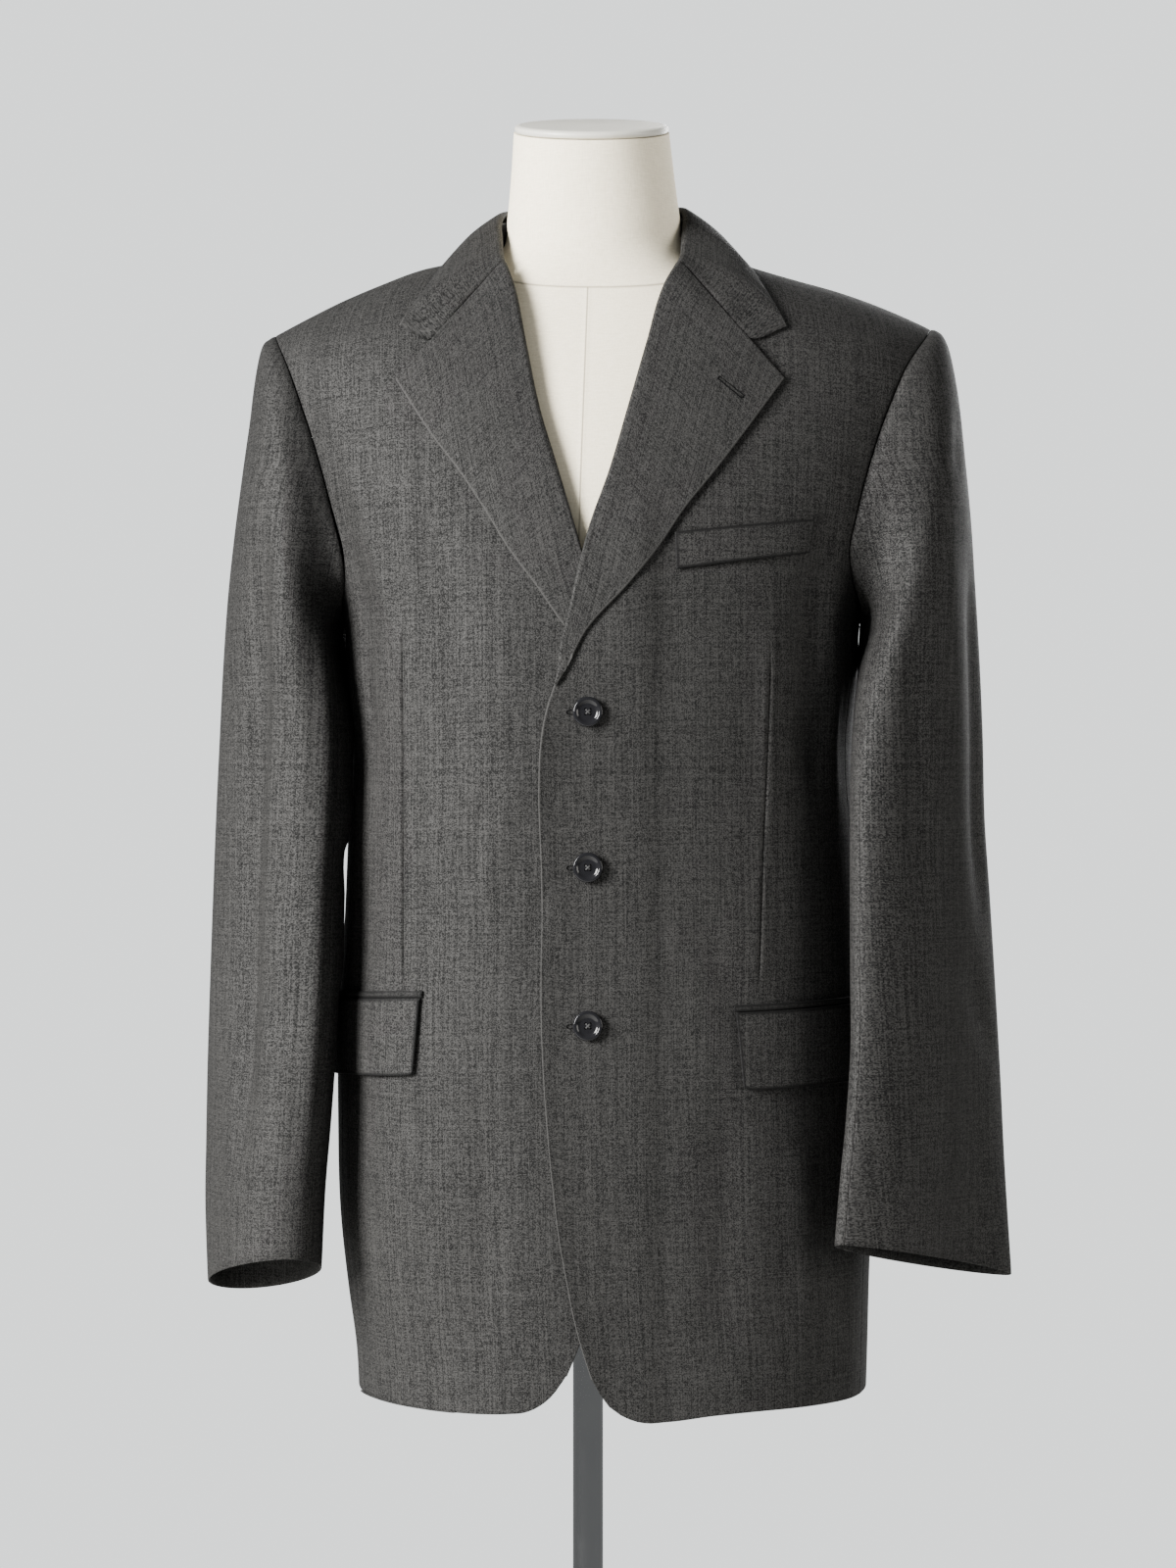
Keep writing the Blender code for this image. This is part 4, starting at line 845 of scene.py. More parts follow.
# ---------------------------------------------------------------- panels of the coat
def patch(start, end, bottom, top, across: np.ndarray, up: np.ndarray) -> np.ndarray:
    """Grid in turn and height between four edges.

    Args:
        start: (turn, height) of each row at the first column.
        end: the same at the last column.
        bottom: (turn, height) of each column at the first row.
        top: the same at the last row.
        across: places of the columns from 0 to 1.
        up: places of the rows from 0 to 1.

    Returns:
        An array of rows, columns and (turn, height).
    """
    across = across[None, :, None]
    up = up[:, None, None]
    sides = start[:, None] * (1 - across) + end[:, None] * across
    low = bottom - (bottom[0] * (1 - across) + bottom[-1] * across)
    high = top - (top[0] * (1 - across) + top[-1] * across)
    return sides + low * (1 - up) + high * up


@dataclass
class Panel:
    """What the fronts, sides and backs share: the body they lie on and their seams."""

    body: WornBody
    side: Side
    material: bpy.types.Material
    below: int = 84
    above: int = 60
    made: Optional[ClothGrid] = None

    def seam(self, facing: int) -> np.ndarray:
        """Side seam from the hem up, then the armhole to the shoulder's end.

        Args:
            facing: -1 for the front's edge and 1 for the back's.

        Returns:
            (turn, height) of each row.
        """
        angles = np.radians(np.linspace(SIDE_SEAM, 0.0, self.above))
        turns, heights = self.body.armhole(self.side, facing * angles)
        if facing > 0:
            turns[-1] = self.side.value * math.pi - turns[-1]
        parts = edge_positions(self.below, heights[0] - HEM, end=False)[:-1]
        low = HEM + parts * (heights[0] - HEM)
        edge = np.concatenate([np.full(len(low), turns[0]), turns])
        return np.stack([edge, np.concatenate([low, heights])], axis=-1)

    def shift(self, edge: np.ndarray, distance: float) -> np.ndarray:
        """Edge moved along the rings by a distance."""
        reach = np.linalg.norm(self.body.plain(edge[:, 0], edge[:, 1])[:, :2], axis=1)
        moved = edge.copy()
        moved[:, 0] += distance / reach
        return moved

    def cloth(self, turn: np.ndarray, z: np.ndarray, lift, shift_top: float = 0.0) -> ClothGrid:
        """Outer face of a panel, with its weave's lengths measured from the front's middle."""
        points = self.body.point(turn, z, lift)
        normals = self.body.normal(turn, z)
        fine = grid_normals(points, self.side.value)
        blend = smooth_step((self.body.shoulder_height(points[..., 0]) - z) / 0.01)[..., None]
        normals = fine * blend + normals * (1 - blend)
        normals[0] = normals[1]
        normals = unit(normals)
        points[-1, :, 1] += shift_top
        along = arc_lengths(points, 0) + z[:1]
        return ClothGrid(points, normals, np.stack([self.body.around(turn, z), along], axis=-1))

    def shell(self, part: str, cloth: ClothGrid) -> bpy.types.Object:
        """Mesh of the panel, named after its part of the coat and its side."""
        self.made = cloth
        return cloth_shell(f"coat_{part}_{self.side.word}", cloth, self.material,
                           flip=self.side is Side.RIGHT)


@dataclass
class Front(Panel):
    """Front of one side, with its cut-away hem and its dart."""

    dart_top: tuple[float, float] = (0.1214, 1.2185)
    dart_foot: tuple[float, float] = (0.1140, 0.9950)
    dart_depth: float = 0.0012
    dart_place: float = 0.46

    def raised(self, x, z) -> np.ndarray:
        """How far the over front stands off where it lies on the under front and its lapel."""
        if self.side is Side.RIGHT:
            return np.zeros(np.broadcast(x, z).shape)
        overlap = smooth_step((0.052 - x) / 0.018) * smooth_step((1.345 - z) / 0.055)
        crossing = np.exp(-((z - 1.242) / 0.047) ** 4) * smooth_step((0.062 - x) / 0.035)
        inside = np.maximum(x - column(FRONT_EDGE, "over", z), 0.0)
        below = smooth_step((1.215 - z) / 0.06)
        steep = 0.0046 + 0.0030 * np.exp(-((z - 1.165) / 0.055) ** 2)
        roll = steep * np.exp(-inside / 0.014) + 0.0024 * np.exp(-((x + 0.005) / 0.042) ** 2)
        return 0.0024 * overlap + 0.0034 * crossing + roll * below

    def dart_x(self, z) -> np.ndarray:
        """Place across of the dart at a height."""
        (top_x, top_z), (foot_x, foot_z) = self.dart_top, self.dart_foot
        x = foot_x + (top_x - foot_x) * (z - foot_z) / (top_z - foot_z)
        return self.side.value * x

    def grid(self) -> np.ndarray:
        """Turn and height of every point of the panel."""
        name = self.side.front
        seam = self.shift(self.seam(-1), -self.side.value * SEAM / 2)
        near = np.array([-0.0016, -0.0008, -0.0004, 0.0, 0.0004, 0.0008, 0.0016]) / 0.27
        across = np.unique(np.concatenate([edge_positions(64, 0.27), self.dart_place + near]))
        up = (seam[:, 1] - seam[0, 1]) / (seam[-1, 1] - seam[0, 1])
        low, high = FRONT_EDGE[0].z, FRONT_EDGE[-1].z
        heights = low + up * (high - low)
        edge = np.stack([self.body.turn_at(column(FRONT_EDGE, name, heights), heights), heights],
                        axis=-1)
        hem_turn = edge[0, 0] + across * (seam[0, 0] - edge[0, 0])
        hem_x = np.abs(self.body.plain(hem_turn, HEM)[:, 0])
        hem_rows = HEM_OVER if self.side is Side.LEFT else HEM_UNDER
        hem = np.stack([hem_turn, column(hem_rows, "z", hem_x, by="x")], axis=-1)
        neck_x = column(FRONT_EDGE, name, high)
        end_x = self.body.plain(seam[-1, 0], seam[-1, 1])[0]
        shoulder_x = neck_x + across * (end_x - neck_x)
        shoulder_z = self.body.shoulder_height(shoulder_x)
        shoulder = np.stack([self.body.turn_at(shoulder_x, shoulder_z), shoulder_z], axis=-1)
        edge[-1], seam[-1], seam[0] = shoulder[0], shoulder[-1], hem[-1]
        grid = patch(edge, seam, hem, shoulder, across, up)
        return self.along_dart(grid, int(np.argmin(np.abs(across - self.dart_place))))

    def along_dart(self, grid: np.ndarray, dart: int) -> np.ndarray:
        """Grid whose dart column is moved onto the dart's line."""
        turn, z = grid[..., 0], grid[..., 1]
        wanted = self.body.turn_at(self.dart_x(z[:, dart]), z[:, dart])
        top, foot = self.dart_top[1], self.dart_foot[1]
        reach = smooth_step((z[:, dart] - foot + 0.16) / 0.14)
        reach = reach * smooth_step((top + 0.14 - z[:, dart]) / 0.12)
        move = (wanted - turn[:, dart]) * reach
        start, end = turn[:, :1], turn[:, -1:]
        middle = turn[:, dart:dart + 1]
        before = (turn - start) / (middle - start)
        after = (end - turn) / (end - middle)
        share = np.where(np.arange(turn.shape[1])[None] <= dart, before, after)
        warped = grid.copy()
        warped[..., 0] = turn + move[:, None] * np.clip(share, 0, 1)
        return warped

    def dart(self, turn: np.ndarray, z: np.ndarray) -> np.ndarray:
        """Depth of the dart's sewn line."""
        away = self.body.plain(turn, z)[..., 0] - self.dart_x(z)
        length = smooth_step((z - self.dart_foot[1]) / 0.012)
        length = length * smooth_step((self.dart_top[1] + 0.008 - z) / 0.022)
        puff = 0.0008 * np.exp(-(away / 0.006) ** 2)
        return length * (puff - self.dart_depth * np.exp(-(away / 0.0007) ** 2))

    def build(self) -> bpy.types.Object:
        """Makes the front."""
        grid = self.grid()
        turn, z = grid[..., 0], grid[..., 1]
        lift = self.raised(self.body.plain(turn, z)[..., 0], z) + self.dart(turn, z)
        cloth = self.cloth(turn, z, lift, -SEAM / 2)
        cloth.shape_edges(CLOTH, "ds", "ue", stitched="s")
        return self.shell("front", cloth)


@dataclass
class SideBody(Panel):
    """Side body between the front and the back, from the hem to the armhole."""

    underlap: float = 0.016
    reach: float = 0.17
    inward: float = 0.0026
    tuck_drop: float = 0.012
    tuck_blend: float = 0.03
    step_before: float = 0.006
    step_wide: float = 0.012

    def tucked(self, back: np.ndarray) -> tuple[np.ndarray, np.ndarray]:
        """Back edge carried on under the back below the vent's top.

        Args:
            back: (turn, height) of each row of the edge.

        Returns:
            The new edge, and how far each of its rows is in, from 0 to 1.
        """
        share = smooth_step((VENT_TOP - self.tuck_drop - back[:, 1]) / self.tuck_blend)
        moved = back.copy()
        moved[:, 0] += share * self.side.value * self.underlap / self.reach
        return moved, share

    def build(self) -> bpy.types.Object:
        """Makes the side body."""
        gap = self.side.value * SEAM / 2
        front, back = self.shift(self.seam(-1), gap), self.shift(self.seam(1), -gap)
        rows = len(front) - self.above + 1
        front, back = front[:rows], back[:rows]
        angles = np.radians(np.concatenate([np.linspace(-SIDE_SEAM, -179.9, 18),
                                            np.linspace(179.9, SIDE_SEAM, 18)]))
        turns, heights = self.body.armhole(self.side, angles)
        near = edge_positions(2, 0.10)
        across = (turns - turns[0]) / (turns[-1] - turns[0])
        places = np.unique(np.concatenate([across, near]))
        top = np.stack([np.interp(places, across, turns),
                        np.interp(places, across, heights - SEAM)], axis=-1)
        top[0], top[-1] = front[-1], back[-1]
        seam_turn = np.abs(back[:1, 0])
        back, share = self.tucked(back)
        bottom = front[0] + places[:, None] * (back[0] - front[0])
        up = (front[:, 1] - front[0, 1]) / (front[-1, 1] - front[0, 1])
        grid = patch(front, back, bottom, top, places, up)
        beyond = (np.abs(grid[..., 0]) - seam_turn + self.step_before) / self.step_wide
        inward = self.inward * share[:, None] * smooth_step(beyond)
        cloth = self.cloth(grid[..., 0], grid[..., 1], -inward)
        cloth.shape_edges(CLOTH, "d", "use")
        return self.shell("side", cloth)


@dataclass
class Back(Panel):
    """One half of the back, from the side seam and the armhole to the centre back seam."""

    neck_place: float = 0.82
    seam_turn: float = 0.0002
    seam_close: float = 0.00012
    vent_open_left: float = 0.0080
    vent_open_right: float = 0.0050
    vent_turn: float = math.radians(104)
    vent_wide: float = math.radians(26)

    def lifted(self, turn: np.ndarray, z: np.ndarray) -> np.ndarray:
        """How far the back stands out beside the open vent."""
        reach = self.vent_open_left if self.side is Side.LEFT else self.vent_open_right
        down = smooth_step((VENT_TOP - z) / (VENT_TOP - HEM))
        away = (np.abs(turn) - self.vent_turn) / self.vent_wide
        return reach * down * np.exp(-away ** 2)

    def top_edge(self, end_x: float, across: np.ndarray) -> np.ndarray:
        """Turn and height along the shoulder seam and then the back neckline."""
        neck_x = float(column(FRONT_EDGE, self.side.front, FRONT_EDGE[-1].z))
        shoulder_x = end_x + across / self.neck_place * (neck_x - end_x)
        rest = (across - self.neck_place) / (1 - self.neck_place)
        on_neck = across > self.neck_place
        middle_x = self.body.ring(NECK_BACK)[0]
        neckline = self.body.back_neckline(neck_x, neck_x * (1 - rest))
        x = np.where(on_neck, neck_x + rest * (middle_x - neck_x), shoulder_x)
        z = np.where(on_neck, neckline, self.body.shoulder_height(shoulder_x))
        return np.stack([self.body.turn_at(x, z, back=self.side), z], axis=-1)

    def build(self) -> bpy.types.Object:
        """Makes the half back."""
        sign = self.side.value
        seam = self.shift(self.seam(1), sign * SEAM / 2)
        up = (seam[:, 1] - seam[0, 1]) / (seam[-1, 1] - seam[0, 1])
        corner = self.neck_place + np.array([0.0, 0.006, 0.014])
        across = np.unique(np.concatenate([edge_positions(52, 0.25), corner]))
        middle_turn = sign * (math.pi - self.seam_turn)
        middle = np.stack([np.full(len(up), middle_turn), HEM + up * (NECK_BACK - HEM)], axis=-1)
        top = self.top_edge(float(self.body.plain(seam[-1, 0], seam[-1, 1])[0]), across)
        top[-1] = middle[-1]
        top[0, 0] = seam[-1, 0]
        seam[-1] = top[0]
        bottom = seam[0] + across[:, None] * (middle[0] - seam[0])
        grid = patch(seam, middle, bottom, top, across, up)
        turn, z = grid[..., 0], grid[..., 1]
        cloth = self.cloth(turn, z, self.lifted(turn, z), SEAM / 2)
        cloth.points[:, -1, 0] -= sign * self.seam_close
        cloth.shape_edges(CLOTH, "d", "use")
        return self.shell("back", cloth)


# ---------------------------------------------------------------- lapels and collar
@dataclass
class TurnedCloth:
    """What lapels and the collar share: cloth folded over a line, lying on the coat."""

    body: WornBody
    fronts: dict[Side, Front]
    material: bpy.types.Material
    fold_reach: tuple[float, ...] = (-0.0024, -0.0033, -0.0022, 0.0020)
    fold_height: tuple[float, ...] = (-0.0014, 0.0008, 0.0034, 0.0046)
    flat_reach: tuple[float, ...] = (0.0001, 0.0006, 0.0011, 0.0020)
    fall_parts: tuple[float, ...] = (0.25, 0.50, 0.75, 1.0)
    roll_height: float = 0.0046
    edge_height: float = 0.0034
    foot_height: float = 0.0025
    rises: tuple[float, float] = (1.283, 1.350)
    hooks: float = 0.030
    roll_foot: float = 1.1960
    roll_head: float = 1.4870
    notch: float = 0.67
    fine: int = 34
    grids: list[ClothGrid] = field(default_factory=list)

    def turned_row(self, side: Side, start, end, corner=None) -> np.ndarray:
        """Row of points from inside the fold to the free edge.

        Args:
            side: front on which the row lies.
            start: place across and height of the fold line.
            end: place across and height of the free edge.
            corner: place on the way, where the row turns.

        Returns:
            One point a row.
        """
        start, end = np.array(start), np.array(end)
        knee = end if corner is None else np.array(corner)
        width = np.linalg.norm(knee - start)
        foot = float(smooth_step((start[1] - self.rises[0]) / (self.rises[1] - self.rises[0])))
        hook = float(smooth_step((start[1] - self.roll_foot) / self.hooks))
        reaches = [hook * reach + (1 - hook) * flat
                   for reach, flat in zip(self.fold_reach, self.flat_reach)]
        first = reaches[-1] / width
        places = [(start + (knee - start) * reach / width,
                   hook * height + (1 - hook) * self.foot_height)
                  for reach, height in zip(reaches, self.fold_height)]
        for part in self.fall_parts:
            if corner is None:
                place = start + (end - start) * (first + part * (1 - first))
            elif part < 1:
                along = first + part / self.fall_parts[-2] * (1 - first)
                place = start + (knee - start) * along
            else:
                place = end
            height = self.roll_height + part * (self.edge_height - self.roll_height)
            places.append((place, height))
        row = []
        for (x, z), height in places:
            if height > self.foot_height:
                height = self.foot_height + foot * (height - self.foot_height)
            height = height + float(self.fronts[side].raised(x, z))
            row.append(self.body.point(self.body.turn_at(x, z), z, height))
        return np.array(row)

    def smooth_rows(self, rows: list[np.ndarray]) -> np.ndarray:
        """Rows resampled finely, with places close to the free edge."""
        fine = []
        for row in rows:
            dense = even_curve(row, 240)
            length = arc_lengths(dense, 0)
            end = length[-1]
            bends = np.linspace(0, 0.010, 12)
            flats = np.linspace(0.0125, max(end - 0.0025, 0.0130), self.fine - 16)
            near = end - np.array([0.0010, 0.0005, 0.0002, 0.0])
            stops = np.clip(np.concatenate([bends, flats, near]), 0, end)
            stops = np.maximum.accumulate(stops + np.arange(len(stops)) * 1e-7)
            fine.append(np.stack([np.interp(stops, length, dense[:, k]) for k in range(3)], -1))
        return np.array(fine)

    def laid(self, points: np.ndarray, sign: float, finished: str, seams: str) -> ClothGrid:
        """Cloth grid whose weave runs along the fold line."""
        normals = grid_normals(points, sign)
        uv = np.stack([arc_lengths(points, 1), arc_lengths(points, 0)[:, 12:13]
                       + 0 * points[..., 0]], axis=-1)
        cloth = ClothGrid(points, normals, uv)
        cloth.shape_edges(CLOTH, finished, seams, stitched="e")
        self.grids.append(cloth)
        return cloth


@dataclass
class Lapel(TurnedCloth):
    """Lapel turned over on the roll line, lying on its own front."""

    side: Side = Side.LEFT
    under_starts: float = 0.016
    rows: int = 96

    def row_at(self, up: float) -> np.ndarray:
        """Row of the lapel at a part of its length."""
        name = self.side.front
        cut = 0.0 if self.side is Side.LEFT else self.under_starts
        roll_z = self.roll_foot + cut + up * (self.roll_head - self.roll_foot - cut)
        foot = LAPEL_EDGE[0].z + cut
        edge_z = foot + up * (LAPEL_EDGE[-1].z - foot)
        start = (float(column(FRONT_EDGE, name, roll_z)), roll_z)
        return self.turned_row(self.side, start, (float(column(LAPEL_EDGE, name, edge_z)), edge_z))

    def build(self) -> bpy.types.Object:
        """Makes the lapel."""
        places = edge_positions(self.rows, 0.27)
        points = self.smooth_rows([self.row_at(place) for place in places])
        cloth = self.laid(points, self.side.value, "e", "u")
        return cloth_shell(f"lapel_{self.side.word}", cloth, self.material,
                           flip=self.side is Side.RIGHT)


@dataclass
class Collar(TurnedCloth):
    """Fall and stand of the collar, from one gorge round the neck to the other."""

    parts: int = 46
    shoulder: float = 0.46
    fall_rise: float = 0.8
    crown: float = 0.0030
    foot_in: float = 0.0020
    foot_up: float = 0.0026
    fall_rows: tuple[float, ...] = (0.06, 0.14, 0.24, 0.34, 0.46, 0.59, 0.72, 0.86, 1.0)
    band_start: float = 0.43
    band_rows: int = 24

    def fold_at(self, rows: Sequence, part: float) -> np.ndarray:
        """Point of the collar's fold line."""
        return np.array([float(column(rows, key, part, by="part"))
                         for key in ("fold_x", "fold_y", "fold_z")])

    def leaf_at(self, rows: Sequence, part: float) -> np.ndarray:
        """Point of the collar's free edge, lying on the coat."""
        x = float(column(rows, "leaf_x", part, by="part"))
        z = float(column(rows, "leaf_z", part, by="part"))
        z = min(z, float(self.body.shoulder_height(x)) - 0.0004)
        behind = (Side.LEFT if x > 0 else Side.RIGHT) if part > self.shoulder else None
        turn = float(self.body.turn_at(x, z, behind))
        return self.body.plain(turn, z) + self.body.normal(turn, z) * self.edge_height

    def gorge(self, side: Side, rows: Sequence) -> np.ndarray:
        """Front end of the collar: along the gorge to the notch, then to its own point."""
        start = np.array((float(column(FRONT_EDGE, side.front, self.roll_head)), self.roll_head))
        point = np.array((getattr(LAPEL_EDGE[-1], side.front), LAPEL_EDGE[-1].z))
        along = unit(point - start)
        gap = np.array((-along[1], along[0])) * side.value * (SEAM + 0.0005)
        notch = start + (point - start) * self.notch + gap
        return self.turned_row(side, start + gap, (rows[0].leaf_x, rows[0].leaf_z), notch)

    def fall(self, rows: Sequence, part: float) -> np.ndarray:
        """Row across the fall, from inside its fold to its leaf."""
        fold, leaf = self.fold_at(rows, part), self.leaf_at(rows, part)
        down = unit(leaf - fold)
        outward = unit(np.array([fold[0], fold[1] - RIDGE, 0.0]))
        outward = outward + np.array([0.0, 0.0, self.fall_rise])
        out = unit(outward - down * outward.dot(down))
        row = [fold + down * reach + out * height
               for reach, height in zip(self.fold_reach, self.fold_height)]
        start = row[-1]
        for fall in self.fall_parts:
            crown = self.crown * math.sin(math.pi * fall)
            row.append(start + (leaf - start) * fall + out * crown)
        return np.array(row)

    def upright(self, side: Side, rows: Sequence, part: float) -> np.ndarray:
        """Row down the outer face of the stand, from its fold to the neck seam."""
        top = self.fold_at(rows, part)
        neck_x = float(column(FRONT_EDGE, side.front, FRONT_EDGE[-1].z))
        if part >= self.shoulder:
            rest = (part - self.shoulder) / (1 - self.shoulder)
            x = side.value * abs(neck_x) * math.cos(rest * math.pi / 2)
            z = float(self.body.back_neckline(neck_x, x))
            low = self.body.plain(self.body.turn_at(x, z, side), z)
        else:
            z = self.roll_head + (FRONT_EDGE[-1].z - self.roll_head) * part / self.shoulder
            x = float(column(FRONT_EDGE, side.front, z))
            low = self.body.plain(self.body.turn_at(x, z), z)
        inward = unit(np.array([-low[0], RIDGE - low[1], 0.0]))
        low = low + inward * self.foot_in + np.array([0.0, 0.0, self.foot_up])
        return np.array([top + (low - top) * place for place in (0.19, 0.58, 1.0)])

    def build(self) -> list[bpy.types.Object]:
        """Makes the fall and the stand."""
        fall: list[np.ndarray] = []
        stand: list[np.ndarray] = []
        for side, rows in ((Side.RIGHT, COLLAR_RIGHT), (Side.LEFT, COLLAR_LEFT)):
            coarse = [self.gorge(side, rows)]
            coarse += [self.fall(rows, part) for part in self.fall_rows]
            upright = [self.upright(side, rows, part)
                       for part in np.linspace(self.band_start, 1, self.band_rows)]
            if side is Side.LEFT:
                coarse = coarse[::-1][1:]
                upright = upright[::-1][1:]
            fall += coarse
            stand += upright
        rows = np.array(fall)
        spans = [even_curve(rows[:, k], 4 * self.parts + 1) for k in range(rows.shape[1])]
        points = self.smooth_rows(list(np.stack(spans, axis=1)))
        leaf = self.laid(points, -1.0, "ude", "s")
        points = np.array([even_curve(row, 9) for row in stand])
        uv = np.stack([arc_lengths(points, 1), arc_lengths(points, 0)], axis=-1)
        band = ClothGrid(points, grid_normals(points, -1.0), uv)
        return [cloth_shell(name, cloth, self.material, flip=True)
                for name, cloth in (("collar_leaf", leaf), ("collar_band", band))]


# ---------------------------------------------------------------- sleeves
class SleeveRow(NamedTuple):
    """Ring of a sleeve: outermost and innermost point, middle and half depth, and turns."""

    out_x: float
    out_z: float
    in_x: float
    in_z: float
    mid_y: float
    half_y: float
    slant: float
    pitch: float


SLEEVE_RIGHT = (
    SleeveRow(0.2190, 1.4490, 0.1714, 1.2500, 0.000, 0.0660, 0, 0),
    SleeveRow(0.2228, 1.4468, 0.1720, 1.2475, -0.001, 0.0675, 0, 0),
    SleeveRow(0.2287, 1.4405, 0.1728, 1.2445, -0.002, 0.0695, 2, 0),
    SleeveRow(0.2335, 1.4200, 0.1738, 1.2400, -0.004, 0.0725, 4, 0),
    SleeveRow(0.2384, 1.3846, 0.1742, 1.2330, -0.006, 0.0750, 7, 0),
    SleeveRow(0.2437, 1.3480, 0.1735, 1.2240, -0.008, 0.0765, 10, 0),
    SleeveRow(0.2497, 1.3050, 0.1715, 1.2120, -0.010, 0.0765, 14, 0),
    SleeveRow(0.2546, 1.2620, 0.1690, 1.1960, -0.012, 0.0755, 18, 0),
    SleeveRow(0.2582, 1.2150, 0.1665, 1.1720, -0.014, 0.0740, 22, 1),
    SleeveRow(0.2610, 1.1650, 0.1652, 1.1400, -0.016, 0.0720, 26, 2),
    SleeveRow(0.2634, 1.1150, 0.1668, 1.1000, -0.019, 0.0705, 29, 4),
    SleeveRow(0.2653, 1.0600, 0.1692, 1.0520, -0.024, 0.0690, 32, 6),
    SleeveRow(0.2667, 1.0000, 0.1700, 0.9980, -0.031, 0.0670, 33, 8),
    SleeveRow(0.2674, 0.9400, 0.1722, 0.9440, -0.039, 0.0640, 32, 10),
    SleeveRow(0.2671, 0.8850, 0.1755, 0.8930, -0.047, 0.0600, 30, 13),
    SleeveRow(0.2664, 0.8450, 0.1790, 0.8480, -0.054, 0.0560, 28, 15),
    SleeveRow(0.2636, 0.7930, 0.1812, 0.7950, -0.061, 0.0530, 26, 18),
)

SLEEVE_LEFT = (
    SleeveRow(0.2388, 1.4537, 0.1910, 1.2500, 0.000, 0.0660, 0, 0),
    SleeveRow(0.2425, 1.4525, 0.1915, 1.2475, -0.003, 0.0675, 0, 0),
    SleeveRow(0.2485, 1.4475, 0.1922, 1.2445, -0.006, 0.0695, 3, 0),
    SleeveRow(0.2545, 1.4330, 0.1930, 1.2400, -0.010, 0.0725, 7, 0),
    SleeveRow(0.2605, 1.4020, 0.1920, 1.2330, -0.016, 0.0750, 12, 0),
    SleeveRow(0.2650, 1.3630, 0.1900, 1.2240, -0.023, 0.0760, 18, 0),
    SleeveRow(0.2695, 1.3180, 0.1865, 1.2120, -0.031, 0.0760, 25, 0),
    SleeveRow(0.2730, 1.2680, 0.1830, 1.1960, -0.038, 0.0750, 32, 0),
    SleeveRow(0.2760, 1.2180, 0.1800, 1.1720, -0.044, 0.0730, 38, 1),
    SleeveRow(0.2780, 1.1650, 0.1775, 1.1400, -0.050, 0.0710, 43, 2),
    SleeveRow(0.2790, 1.1100, 0.1765, 1.1000, -0.055, 0.0690, 47, 4),
    SleeveRow(0.2820, 1.0600, 0.1760, 1.0520, -0.060, 0.0670, 50, 6),
    SleeveRow(0.2850, 1.0000, 0.1757, 0.9980, -0.066, 0.0640, 52, 8),
    SleeveRow(0.2875, 0.9400, 0.1755, 0.9460, -0.073, 0.0600, 54, 10),
    SleeveRow(0.2890, 0.8850, 0.1720, 0.8960, -0.080, 0.0550, 56, 12),
    SleeveRow(0.2903, 0.8460, 0.1680, 0.8570, -0.086, 0.0500, 58, 14),
    SleeveRow(0.2920, 0.8040, 0.1640, 0.8120, -0.092, 0.0450, 60, 16),
)

RIGHT_SLEEVE_CREASES = (
    Crease(-68, 1.320, -70, 0.850, 0.0140, -0.0120),
    Crease(-36, 1.290, -38, 0.900, 0.0100, 0.0034),
    Crease(-138, 1.310, -136, 0.850, 0.0110, 0.0040),
    Crease(176, 1.190, 174, 1.100, 0.0180, 0.0026),
    Crease(169, 1.264, 170, 1.176, 0.0130, 0.0015),
    Crease(153, 1.270, 152, 1.166, 0.0130, 0.0042),
    Crease(158, 1.243, 157, 1.206, 0.0090, 0.0009),
    Crease(184, 1.205, 183, 1.148, 0.0120, 0.0012),
    Crease(180, 1.125, 178, 1.085, 0.0170, 0.0028),
    Crease(180, 1.075, 178, 0.985, 0.0170, 0.0022),
    Crease(-98, 1.220, -96, 1.020, 0.0120, -0.0030),
    Crease(-84, 1.010, -110, 0.950, 0.0080, -0.0022),
    Crease(-20, 1.400, -36, 1.345, 0.0100, -0.0016),
    Crease(30, 1.240, 38, 1.050, 0.0130, -0.0040),
    Crease(70, 1.130, 48, 1.060, 0.0100, -0.0030),
    Crease(92, 1.060, 66, 1.000, 0.0090, -0.0026),
    Crease(20, 0.990, 44, 0.930, 0.0110, 0.0020),
)

LEFT_SLEEVE_CREASES = (
    Crease(153, 1.276, 152, 1.200, 0.0130, 0.0035),
    Crease(161, 1.266, 160, 1.220, 0.0090, 0.0008),
    Crease(-30, 1.300, -36, 1.020, 0.0130, -0.0046),
    Crease(-62, 1.330, -60, 1.060, 0.0120, 0.0016),
    Crease(-100, 1.240, -96, 1.040, 0.0100, -0.0030),
    Crease(-60, 1.010, -30, 0.940, 0.0130, -0.0024),
    Crease(-84, 0.960, -70, 0.850, 0.0110, 0.0018),
    Crease(-26, 1.395, -46, 1.340, 0.0090, -0.0014),
    Crease(36, 1.250, 40, 1.060, 0.0140, -0.0042),
    Crease(66, 1.120, 44, 1.050, 0.0110, -0.0030),
    Crease(88, 1.050, 60, 0.990, 0.0090, -0.0028),
)


